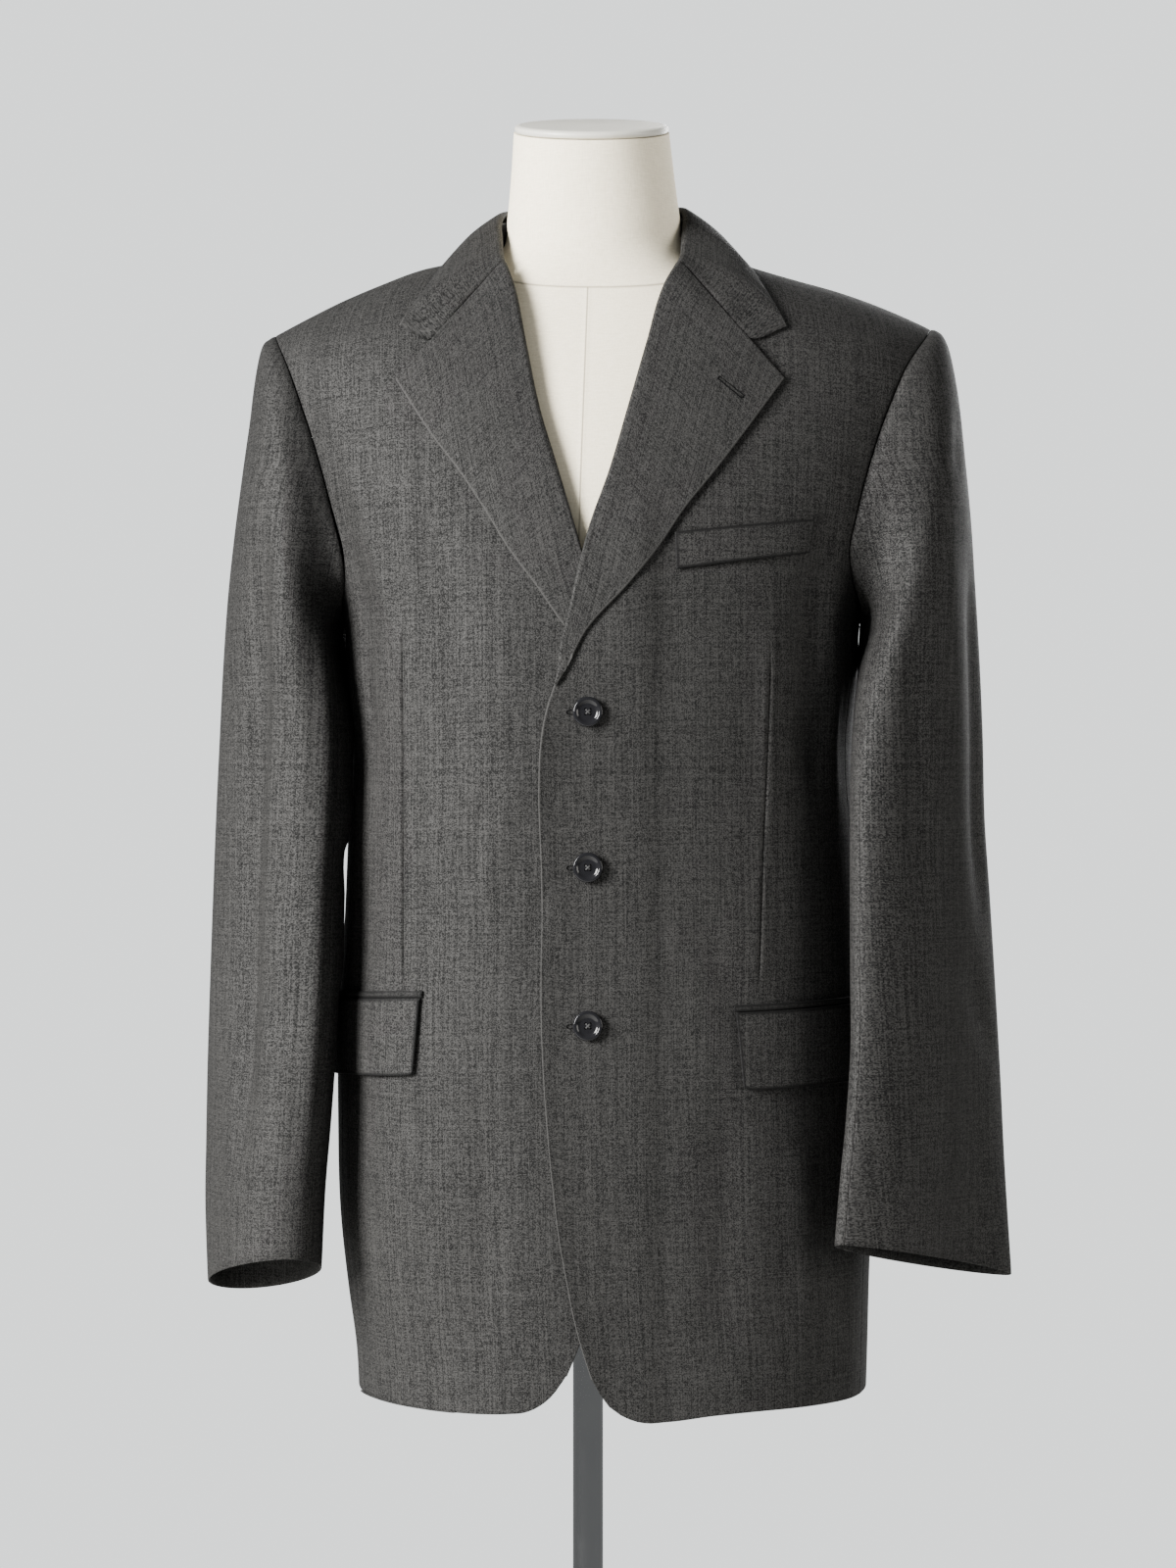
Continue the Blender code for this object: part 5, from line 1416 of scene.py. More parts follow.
@dataclass
class Sleeve:
    """Upper and under sleeve of one side, joined at the front seam and the back seam."""

    body: WornBody
    side: Side
    material: bpy.types.Material
    creases: Sequence[Crease] = ()
    head_rings: int = 5
    head_gap: float = 0.0002
    clear: float = 0.0028
    seam_gap: float = math.radians(0.06)
    between: int = 8
    axis_radius: float = 0.062
    crease_radius: float = 0.065
    small_turn: float = 0.02
    clear_below: float = UNDERARM - 0.001
    clear_blend: float = 0.012

    @property
    def table(self) -> Sequence[SleeveRow]:
        """Rings of this side's sleeve."""
        return SLEEVE_LEFT if self.side is Side.LEFT else SLEEVE_RIGHT

    def coarse(self, angles: np.ndarray) -> np.ndarray:
        """Rings of the sleeve at its table's rows, before it clears the body."""
        wrapped = np.mod(angles + math.pi, 2 * math.pi) - math.pi
        seam = self.body.plain(*self.body.armhole(self.side, wrapped))
        rings = []
        for number, row in enumerate(self.table):
            across = np.cos(angles)
            deep = np.sin(angles + math.radians(row.slant))
            x = self.side.value * ((row.out_x + row.in_x) / 2 + (row.out_x - row.in_x) / 2 * across)
            y = row.mid_y + row.half_y * deep
            z = (row.out_z + row.in_z) / 2 + (row.out_z - row.in_z) / 2 * across
            z = z - (y - row.mid_y) * math.tan(math.radians(row.pitch))
            points = np.stack([x, y, z], axis=-1)
            if number == 0:
                first = points
            stay = 1 - smooth_step(number / self.head_rings)
            rings.append(points + (seam - first) * stay)
        grid = np.array(rings)
        grid[0, :, 0] += self.side.value * self.head_gap
        return grid

    def rings(self, angles: np.ndarray) -> np.ndarray:
        """Fine rings of the sleeve, clear of the body of the coat."""
        coarse = self.cleared(self.coarse(angles))
        count = (len(coarse) - 1) * self.between + 1
        fine = np.stack([even_curve(coarse[:, k], count) for k in range(coarse.shape[1])], axis=1)
        near = np.array([0.02, 0.06, 0.12])
        head = fine[0] + (fine[1] - fine[0]) * near[:, None, None]
        cuff = fine[-1] + (fine[-2] - fine[-1]) * (near[::-1, None, None] * 0.5)
        return np.concatenate([fine[:1], head, fine[1:-1], cuff, fine[-1:]])

    def cleared(self, points: np.ndarray) -> np.ndarray:
        """Points below the underarm, moved out to where they clear the body of the coat."""
        z = points[..., 2]
        middle, half = self.body.ring(z)
        depth = np.where(points[..., 1] < 0, column(self.body.rows, "front", z),
                         column(self.body.rows, "back", z))
        room = self.clear * smooth_step((self.clear_below - z) / self.clear_blend)
        wide = (points[..., 0] - middle) / (half + room)
        deep = points[..., 1] / (depth + room)
        reach = (np.abs(wide) ** SQUARENESS + np.abs(deep) ** SQUARENESS) ** (1 / SQUARENESS)
        grow = np.where((reach < 1) & (z < self.clear_below), 1 / reach, 1.0)
        moved = points.copy()
        moved[..., 0] = middle + (points[..., 0] - middle) * grow
        moved[..., 1] = points[..., 1] * grow
        return moved

    def build(self) -> list[bpy.types.Object]:
        """Makes the two pieces of the sleeve."""
        back, front = math.radians(BACK_SEAM), -math.radians(SIDE_SEAM)
        pieces = []
        spans = (("upper", front, back), ("under", back, front + 2 * math.pi))
        for name, start, end in spans:
            places = edge_positions(56, 0.26)
            angles = start + self.seam_gap + places * (end - start - 2 * self.seam_gap)
            outer = self.surface(angles)
            normals = self.outward(self.surface, angles)
            plain = self.rings(angles)
            uv = np.stack([self.about(plain, name == "under"), plain[..., 2]], axis=-1)
            cloth = ClothGrid(outer[::-1], normals[::-1], uv[::-1])
            cloth.shape_edges(CLOTH, "d", "use")
            pieces.append(cloth_shell(f"sleeve_{name}_{self.side.word}_cloth", cloth, self.material,
                                      flip=self.side is Side.RIGHT))
        return pieces

    def about(self, points: np.ndarray, inward: bool) -> np.ndarray:
        """Length of cloth round the sleeve's own axis at every point, for the weave."""
        heights = np.array([(row.out_z + row.in_z) / 2 for row in self.table])[::-1]
        middle_x = np.array([(row.out_x + row.in_x) / 2 for row in self.table])[::-1]
        middle_y = np.array([row.mid_y for row in self.table])[::-1]
        over = points[..., 0] * self.side.value - np.interp(points[..., 2], heights, middle_x)
        deep = points[..., 1] - np.interp(points[..., 2], heights, middle_y)
        if inward:
            over, deep = -over, -deep
        return self.axis_radius * np.arctan2(deep, over)

    def surface(self, angles: np.ndarray) -> np.ndarray:
        """Outer face of the sleeve with its creases."""
        rings = self.rings(angles)
        turns = self.wrapped(angles)[None, :]
        depth = crease_depth(self.creases, turns, rings[..., 2], self.crease_radius)
        return rings + self.outward(self.rings, angles) * depth[..., None]

    def wrapped(self, angles: np.ndarray) -> np.ndarray:
        """Angles brought into the one turn that starts at the sleeve's front seam."""
        return np.mod(angles + math.radians(SIDE_SEAM), 2 * math.pi) - math.radians(SIDE_SEAM)

    def outward(self, shape: Callable[[np.ndarray], np.ndarray],
                angles: np.ndarray) -> np.ndarray:
        """Outward directions of one of the sleeve's surfaces, with or without its creases."""
        around = shape(angles + self.small_turn) - shape(angles - self.small_turn)
        down = np.gradient(shape(angles), axis=0)
        return unit(np.cross(down, around) * self.side.value)


# ---------------------------------------------------------------- pockets and buttons
class PocketRow(NamedTuple):
    """Ends of a flap's top and bottom edge."""

    side: Side
    front_x: float
    lean: float
    top_front: float
    top_back: float
    low_front: float
    low_back: float


POCKETS = (
    PocketRow(Side.RIGHT, 0.1115, 0.0040, 0.9876, 0.9820, 0.9355, 0.9295),
    PocketRow(Side.LEFT, 0.0980, 0.0045, 0.9788, 0.9830, 0.9268, 0.9305),
)


@dataclass
class Pockets:
    """Hip flaps with their jets, and the breast welt."""

    body: WornBody
    fronts: dict[Side, Front]
    material: bpy.types.Material
    back_turn: float = 86.0
    flap_wall: float = 0.0018
    jet_wall: float = 0.0012
    jet_height: float = 0.0046
    corner_round: float = 0.0040
    grids: list[ClothGrid] = field(default_factory=list)

    def laid(self, name: str, side: Side, turn: np.ndarray, z: np.ndarray, height,
             wall: float) -> bpy.types.Object:
        """Piece that lies on the coat, made from the coat's own points."""
        x = self.body.plain(turn, z)[..., 0]
        points = self.body.point(turn, z, height + self.fronts[side].raised(x, z))
        normals = grid_normals(points, side.value)
        along = arc_lengths(points, 0) + z[:1]
        cloth = ClothGrid(points, normals, np.stack([self.body.around(turn, z), along], axis=-1))
        # All four sides of flaps, jets and the welt get a painted shadow in the cloth's colour.
        cloth.shape_edges(wall, "dse", "u", pressed="dseu")
        self.grids.append(cloth)
        return cloth_shell(name, cloth, self.material, wall, flip=side is Side.RIGHT)

    def hip(self, row: PocketRow) -> list[bpy.types.Object]:
        """Flap and jet of one hip pocket."""
        sign = row.side.value
        places = edge_positions(36, 0.075)
        ups = edge_positions(22, 0.052)
        back_turn = sign * math.radians(self.back_turn)
        turns, heights = [], []
        for up in ups:
            start_x = sign * (row.front_x + row.lean * (1 - up))
            front = row.low_front + up * (row.top_front - row.low_front)
            back = row.low_back + up * (row.top_back - row.low_back)
            z = front + places * (back - front)
            near = np.clip(1 - places * 0.075 / self.corner_round, 0, 1)
            lift = self.corner_round * 0.6 * (1 - np.sqrt(1 - near ** 2)) * (1 - up) ** 6
            start = float(self.body.turn_at(start_x, front))
            turns.append(start + places * (back_turn - start))
            heights.append(z + lift)
        stand = 0.0033 + 0.0006 * (1 - ups[:, None]) + 0.0006 * np.sin(places * 7)[None] * (
            1 - ups[:, None])
        name = row.side.word
        pieces = [self.laid(f"flap_{name}", row.side, np.array(turns), np.array(heights), stand,
                            self.flap_wall)]
        turns, heights = [], []
        for rise in edge_positions(6, self.jet_height):
            z = row.top_front + places * (row.top_back - row.top_front)
            z = z + SEAM + rise * self.jet_height
            start = float(self.body.turn_at(sign * (row.front_x - 0.0012), z[0]))
            turns.append(start + places * (back_turn - start))
            heights.append(z)
        pieces.append(self.laid(f"jet_{name}", row.side, np.array(turns), np.array(heights),
                                0.0025, self.jet_wall))
        return pieces

    def breast(self, top=((0.0575, 1.2985), (0.1523, 1.3095)),
               low=((0.0585, 1.2735), (0.1500, 1.2865))) -> bpy.types.Object:
        """Breast welt of the wearer's left front."""
        places = edge_positions(32, 0.095)[None, :]
        ups = edge_positions(14, 0.024)[:, None]
        ends = np.array(low)[None] + ups[..., None] * (np.array(top) - np.array(low))[None]
        x = ends[:, :1, 0] + places * (ends[:, 1:, 0] - ends[:, :1, 0])
        z = ends[:, :1, 1] + places * (ends[:, 1:, 1] - ends[:, :1, 1])
        return self.laid("welt", Side.LEFT, self.body.turn_at(x, z), z, 0.0028, self.flap_wall)


def turned_mesh(name: str, profile: np.ndarray, steps: int) -> bpy.types.Mesh:
    """Turned piece whose profile of (radius, height) runs down its outer side.

    Args:
        name: name of the mesh.
        profile: (radius, height) rows from the axis back to the axis.
        steps: number of places round the axis.

    Returns:
        The closed mesh.
    """
    line = bmesh.new()
    corners = [line.verts.new((radius, 0.0, z)) for radius, z in profile]
    edges = [line.edges.new(pair) for pair in zip(corners, corners[1:])]
    bmesh.ops.spin(line, geom=corners + edges, cent=(0, 0, 0), axis=(0, 0, 1),
                   angle=2 * math.pi, steps=steps, use_merge=True)
    bmesh.ops.remove_doubles(line, verts=line.verts, dist=1e-6)
    bmesh.ops.recalc_face_normals(line, faces=line.faces)
    return finished_mesh(name, line)


def rounded(corners: Sequence[tuple[float, float]], steps: int = 5) -> np.ndarray:
    """Profile whose inner corners are rounded off.

    Args:
        corners: (radius, height) rows.
        steps: points of each rounded corner.

    Returns:
        The new profile.
    """
    points = [np.array(corners[0], float)]
    for before, here, after in zip(corners, corners[1:], corners[2:]):
        before, here, after = (np.array(p, float) for p in (before, here, after))
        back, ahead = before - here, after - here
        reach = 0.42 * min(np.linalg.norm(back), np.linalg.norm(ahead))
        start, end = here + unit(back) * reach, here + unit(ahead) * reach
        for t in np.linspace(0, 1, steps):
            points.append((1 - t) ** 2 * start + 2 * t * (1 - t) * here + t * t * end)
    points.append(np.array(corners[-1], float))
    return np.array(points)


@dataclass
class Buttons:
    """Front buttons with their rims, holes and crossed thread."""

    body: WornBody
    front: Front
    horn: bpy.types.Material
    thread: bpy.types.Material
    diameter: float = 0.0200
    gap: float = 0.0009
    hole_pitch: float = 0.0016
    hole_radius: float = 0.0008
    thread_radius: float = 0.00016
    strand_step: float = 0.00028

    def place(self, height: float) -> Matrix:
        """Where a button lies on the front."""
        turn = float(self.body.turn_at(0.0, height))
        normal = Vector(self.body.normal(turn, height))
        spot = self.body.point(turn, height, float(self.front.raised(0.0, height)) + self.gap)
        tilt = normal.to_track_quat("Z", "Y").to_matrix().to_4x4()
        return Matrix.Translation(Vector(spot)) @ tilt

    def build(self) -> list[bpy.types.Object]:
        """Makes every button and its thread."""
        radius = self.diameter / 2
        profile = rounded(((0, 0.0017), (0.0052, 0.0018), (0.0064, 0.0023), (0.0078, 0.0034),
                           (0.0092, 0.0034), (radius, 0.0024), (radius, 0.0014),
                           (0.0080, 0.0003), (0.0060, 0), (0, 0)))
        pieces = []
        for number, height in enumerate(BUTTON_HEIGHTS, start=1):
            place = self.place(height)
            mesh = turned_mesh(f"front_button_{number}", profile, 64)
            button = new_piece(f"front_button_{number}", mesh, self.horn)
            self.pierce(button)
            button.data.transform(place)
            pieces.append(button)
            thread = new_piece(f"button_thread_{number}", self.cross(), self.thread)
            thread.data.transform(place)
            pieces.append(thread)
        return pieces

    def pierce(self, button: bpy.types.Object) -> None:
        """Cuts the four holes through a button that lies at the origin."""
        cutters = bmesh.new()
        for across, along in ((-1, -1), (-1, 1), (1, -1), (1, 1)):
            spot = Matrix.Translation((across * self.hole_pitch, along * self.hole_pitch, 0.001))
            bmesh.ops.create_cone(cutters, cap_ends=True, segments=20, radius1=self.hole_radius,
                                  radius2=self.hole_radius, depth=0.006, matrix=spot)
        tool = new_object("holes", finished_mesh("holes", cutters))
        cut = button.modifiers.new("Holes", "BOOLEAN")
        cut.operation, cut.solver, cut.object = "DIFFERENCE", "EXACT", tool
        apply_modifiers(button)
        bpy.data.objects.remove(tool)
        button.data.set_sharp_from_angle(angle=math.radians(50))

    def cross(self) -> bpy.types.Mesh:
        """Thread from hole to hole, as crossed strands of a small bundle."""
        path = bmesh.new()
        reach = self.hole_pitch
        for strand in range(3):
            shift = (strand - 1) * self.strand_step / math.sqrt(2)
            for sign in (1, -1):
                points = []
                for part in np.linspace(-1, 1, 13):
                    rise = 0.0022 + 0.00045 * (1 - part ** 4) + 0.0002 * (sign > 0)
                    rise -= 0.0016 * (abs(part) > 0.93)
                    points.append((part * reach + shift * sign, sign * part * reach - shift, rise))
                tube(path, points, self.thread_radius, 6)
        return finished_mesh("thread", path)


def tube(mesh: bmesh.types.BMesh, points: Sequence[Sequence[float]], radius: float,
         sides: int) -> None:
    """Adds a closed round tube along points to a mesh."""
    line = [Vector(point) for point in points]
    circle = [Vector((radius * math.cos(a), radius * math.sin(a), 0.0))
              for a in np.linspace(0, 2 * math.pi, sides, endpoint=False)]
    rings = []
    for number, here in enumerate(line):
        ahead = line[min(number + 1, len(line) - 1)] - line[max(number - 1, 0)]
        turn = ahead.to_track_quat("Z", "Y").to_matrix()
        rings.append([mesh.verts.new(here + turn @ spot) for spot in circle])
    join_rings(mesh, rings)


def apply_modifiers(thing: bpy.types.Object) -> None:
    """Turns an object's evaluated shape into its plain mesh."""
    graph = bpy.context.evaluated_depsgraph_get()
    mesh = bpy.data.meshes.new_from_object(thing.evaluated_get(graph), depsgraph=graph)
    old = thing.data
    thing.modifiers.clear()
    thing.data = mesh
    mesh.name = thing.name
    bpy.data.meshes.remove(old)


# ---------------------------------------------------------------- stitches
def stitch_tree() -> bpy.types.NodeTree:
    """Geometry nodes that lay evenly spaced stitches along a line of edges.

    Returns:
        A tree with the inputs Spacing, Length, Thickness, Turn, Uneven and Thread.
    """
    tree = bpy.data.node_groups.new("stitches_along_a_line", "GeometryNodeTree")
    for label, kind, default in (("Geometry", "NodeSocketGeometry", None),
                                 ("Spacing", "NodeSocketFloat", 0.004),
                                 ("Length", "NodeSocketFloat", 0.0012),
                                 ("Thickness", "NodeSocketFloat", 0.0004),
                                 ("Turn", "NodeSocketFloat", 0.0),
                                 ("Uneven", "NodeSocketFloat", 0.15),
                                 ("Thread", "NodeSocketMaterial", None)):
        socket = tree.interface.new_socket(label, in_out="INPUT", socket_type=kind)
        if default is not None:
            socket.default_value = default
    tree.interface.new_socket("Geometry", in_out="OUTPUT", socket_type="NodeSocketGeometry")
    nodes = Nodes(tree)
    start, end = nodes.add("NodeGroupInput"), nodes.add("NodeGroupOutput")
    line = nodes.add("GeometryNodeMeshToCurve", {"Mesh": start.outputs["Geometry"]})
    places = nodes.add("GeometryNodeCurveToPoints", {"Curve": line.outputs["Curve"],
                                                     "Length": start.outputs["Spacing"]},
                       mode="LENGTH")
    bead = nodes.add("GeometryNodeMeshIcoSphere", {"Radius": 0.5, "Subdivisions": 2})
    size = nodes.add("ShaderNodeCombineXYZ", {"X": start.outputs["Thickness"],
                                              "Y": start.outputs["Thickness"],
                                              "Z": start.outputs["Length"]})
    odd = nodes.add("FunctionNodeRandomValue", {"Seed": 7}, data_type="FLOAT")
    spread = nodes.math("MULTIPLY", odd.outputs[1], start.outputs["Uneven"])
    grown = nodes.math("ADD", spread, 1.0)
    scaled = nodes.add("ShaderNodeVectorMath", {0: size.outputs[0], 1: grown},
                       operation="MULTIPLY")
    turned = nodes.add("ShaderNodeCombineXYZ", {"Y": start.outputs["Turn"]})
    aside = nodes.add("FunctionNodeRotateRotation", {"Rotation": places.outputs["Rotation"],
                                                     "Rotate By": turned.outputs[0]},
                      rotation_space="LOCAL")
    laid = nodes.add("GeometryNodeInstanceOnPoints", {"Points": places.outputs["Points"],
                                                      "Instance": bead.outputs["Mesh"],
                                                      "Rotation": aside.outputs[0],
                                                      "Scale": scaled.outputs[0]})
    real = nodes.add("GeometryNodeRealizeInstances", {"Geometry": laid.outputs[0]})
    painted = nodes.add("GeometryNodeSetMaterial", {"Geometry": real.outputs[0],
                                                    "Material": start.outputs["Thread"]})
    tree.links.new(painted.outputs[0], end.inputs["Geometry"])
    return tree


@dataclass
class Sewing:
    """Rows of stitches and worked buttonholes."""

    tree: bpy.types.NodeTree
    thread: bpy.types.Material
    dark_thread: bpy.types.Material

    def row(self, name: str, lines: Sequence[np.ndarray], thread: bpy.types.Material,
            **inputs: float) -> bpy.types.Object:
        """Stitches along lines.

        Args:
            name: name of the piece.
            lines: points of each line.
            thread: what it is sewn with.
            inputs: the tree's inputs by name.

        Returns:
            The piece.
        """
        mesh = bpy.data.meshes.new(name)
        points, edges = [], []
        for line in lines:
            first = len(points)
            points += [tuple(point) for point in line]
            edges += [(first + step, first + step + 1) for step in range(len(line) - 1)]
        mesh.from_pydata(points, edges, [])
        thing = new_object(name, mesh)
        work = thing.modifiers.new("Stitches", "NODES")
        work.node_group = self.tree
        sockets = {item.name: item.identifier for item in self.tree.interface.items_tree
                   if item.item_type == "SOCKET" and item.in_out == "INPUT"}
        for label, value in inputs.items():
            work[sockets[label]] = value
        work[sockets["Thread"]] = thread
        apply_modifiers(thing)
        thing.data.shade_smooth()
        return thing

    def buttonhole(self, name: str, cloth: ClothGrid, start: tuple[float, float],
                   end: tuple[float, float], width: float = 0.0021) -> bpy.types.Object:
        """Worked buttonhole on a piece, from its bar to its round end.

        Args:
            name: name of the piece.
            cloth: the grid it is worked on.
            start: place across and height of its bar.
            end: the same of its round end.
            width: width of the ring of stitches.

        Returns:
            The stitches.
        """
        begin, finish = np.array(start), np.array(end)
        along = unit(finish - begin)
        side = np.array([-along[1], along[0]]) * width / 2
        turns = np.linspace(math.pi / 2, -math.pi / 2, 9)
        ring = [begin + side] + [finish + along * math.cos(turn) * width * 0.7
                                 + side * math.sin(turn) * 1.3 for turn in turns]
        ring += [begin - side, begin + side]
        dense = []
        for here, there in zip(ring, ring[1:]):
            steps = max(2, int(np.linalg.norm(there - here) / 0.001))
            dense += [here + (there - here) * part for part in np.linspace(0, 1, steps,
                                                                           endpoint=False)]
        line = np.array([cloth.onto(x, z, 0.00006)[0] for x, z in dense + [ring[-1]]])
        return self.row(name, [line], self.dark_thread, Spacing=0.00055, Length=0.0012,
                        Thickness=0.00046, Turn=math.pi / 2, Uneven=0.2)


# ---------------------------------------------------------------- dress form and stand
class FormRow(NamedTuple):
    """Ring of the dress form, measured from its own middle."""

    z: float
    half: float
    front: float
    back: float
    x: float
    tilt: float


FORM = (
    FormRow(0.8000, 0.1180, 0.086, 0.080, 0.008, 0.0),
    FormRow(0.8025, 0.1340, 0.099, 0.090, 0.008, 0.0),
    FormRow(0.8100, 0.1480, 0.110, 0.098, 0.008, 0.0),
    FormRow(0.8300, 0.1560, 0.117, 0.105, 0.008, 0.0),
    FormRow(0.8800, 0.1600, 0.122, 0.110, 0.008, 0.0),
    FormRow(0.9500, 0.1610, 0.123, 0.105, 0.008, 0.0),
    FormRow(1.0200, 0.1540, 0.119, 0.098, 0.008, 0.0),
    FormRow(1.0900, 0.1470, 0.117, 0.093, 0.008, 0.0),
    FormRow(1.1600, 0.1490, 0.123, 0.098, 0.008, 0.0),
    FormRow(1.2300, 0.1560, 0.130, 0.107, 0.008, 0.0),
    FormRow(1.3000, 0.1640, 0.126, 0.111, 0.008, 0.0),
    FormRow(1.3600, 0.1730, 0.111, 0.107, 0.008, 0.0),
    FormRow(1.4000, 0.1780, 0.096, 0.099, 0.008, 0.0),
    FormRow(1.4260, 0.1760, 0.084, 0.090, 0.008, 0.0),
    FormRow(1.4440, 0.1640, 0.076, 0.083, 0.007, 0.0),
    FormRow(1.4590, 0.1420, 0.070, 0.077, 0.006, 0.0),
    FormRow(1.4720, 0.1160, 0.066, 0.072, 0.005, 0.5),
    FormRow(1.4840, 0.0910, 0.063, 0.069, 0.0045, 1.5),
    FormRow(1.4960, 0.0735, 0.0615, 0.0665, 0.0043, 3.0),
    FormRow(1.5100, 0.0632, 0.0600, 0.0615, 0.0042, 5.0),
    FormRow(1.5300, 0.0608, 0.0590, 0.0610, 0.0040, 8.0),
    FormRow(1.5550, 0.0580, 0.0590, 0.0570, 0.0035, 12.0),
    FormRow(1.5905, 0.0548, 0.0600, 0.0490, 0.0025, 16.0),
)


@dataclass
class DressForm:
    """Torso and neck of the form, its seams, its cap, its pole and its base."""

    linen: bpy.types.Material
    cap_paint: bpy.types.Material
    steel: bpy.types.Material
    squareness: float = 2.15
    neck_squareness: float = 2.0
    neck_tilt: float = math.radians(16)
    cap_diameter: float = 0.1085
    base_thickness: float = 0.008
    steps: int = 120

    def torso(self) -> bpy.types.Object:
        """Torso and neck as one smooth closed piece."""
        heights = np.array([row.z for row in FORM])
        fine = np.interp(np.linspace(0, len(FORM) - 1, (len(FORM) - 1) * 6 + 1),
                         np.arange(len(FORM)), heights)
        around = np.linspace(0, 2 * math.pi, self.steps, endpoint=False)[None, :]
        z = fine[:, None]
        neck = smooth_step((z - 1.47) / 0.04)
        power = 2 / (self.squareness + neck * (self.neck_squareness - self.squareness))
        half, front = column(FORM, "half", z), column(FORM, "front", z)
        back, middle = column(FORM, "back", z), column(FORM, "x", z)
        x = middle + half * signed_power(np.sin(around), power)
        depth = np.where(np.cos(around) > 0, front, back)
        y = -depth * signed_power(np.cos(around), power)
        tilt = np.tan(np.radians(column(FORM, "tilt", z)))
        points = np.stack([x, y, z + y * tilt], axis=-1)
        shape = bmesh.new()
        join_rings(shape, [[shape.verts.new(point) for point in row] for row in points])
        bmesh.ops.recalc_face_normals(shape, faces=shape.faces)
        thing = new_piece("form_torso", finished_mesh("form_torso", shape), self.linen)
        thing.data.set_sharp_from_angle(angle=math.radians(60))
        return thing

    def cap(self) -> bpy.types.Object:
        """Thin cap on the neck, tipped forward with it."""
        radius = self.cap_diameter / 2
        profile = rounded(((0, 0.0058), (radius - 0.003, 0.0056), (radius - 0.0008, 0.0046),
                           (radius, 0.0030), (radius - 0.0006, 0.0008), (radius - 0.002, 0),
                           (0, 0)))
        top = FORM[-1]
        middle_y = (top.back - top.front) / 2
        height = top.z + middle_y * math.tan(self.neck_tilt) + SEAM
        mesh = turned_mesh("form_cap", profile, 96)
        mesh.transform(Matrix.Translation((top.x, middle_y, height))
                       @ Matrix.Rotation(self.neck_tilt, 4, "X"))
        return new_piece("form_cap", mesh, self.cap_paint)

    def foot(self) -> list[bpy.types.Object]:
        """Pole and round base."""
        radius, hub = BASE_DIAMETER / 2, POLE_DIAMETER / 2 + 0.010
        profile = rounded(((0, 0.034), (hub - 0.002, 0.034), (hub, 0.032), (hub, 0.014),
                           (hub + 0.006, 0.009), (radius - 0.004, self.base_thickness),
                           (radius - 0.001, 0.006), (radius, 0.003), (radius - 0.001, 0), (0, 0)))
        base = new_piece("stand_base", turned_mesh("stand_base", profile, 128), self.steel)
        base.data.set_sharp_from_angle(angle=math.radians(40))
        bottom, top = 0.034 + SEAM, FORM[0].z - SEAM
        pole_radius = POLE_DIAMETER / 2
        profile = rounded(((0, top), (pole_radius, top), (pole_radius, bottom), (0, bottom)), 2)
        pole = new_piece("stand_pole", turned_mesh("stand_pole", profile, 72), self.steel)
        pole.data.set_sharp_from_angle(angle=math.radians(40))
        return [base, pole]


# ---------------------------------------------------------------- finishes
def new_group(name: str, ins: Sequence[tuple[str, str, object]],
              outs: Sequence[tuple[str, str]]) -> tuple[bpy.types.NodeTree, Nodes, dict, dict]:
    """Shader node group with named sockets.

    Args:
        name: name of the group.
        ins: (name, socket type, default) of each input.
        outs: (name, socket type) of each output.

    Returns:
        The group, its node helper, its inputs' sockets inside and its outputs' sockets inside.
    """
    tree = bpy.data.node_groups.new(name, "ShaderNodeTree")
    for label, kind, default in ins:
        socket = tree.interface.new_socket(label, in_out="INPUT", socket_type=kind)
        if default is not None:
            socket.default_value = default
    for label, kind in outs:
        tree.interface.new_socket(label, in_out="OUTPUT", socket_type=kind)
    nodes = Nodes(tree)
    start = nodes.add("NodeGroupInput")
    end = nodes.add("NodeGroupOutput")
    return tree, nodes, {s.name: s for s in start.outputs}, {s.name: s for s in end.inputs}


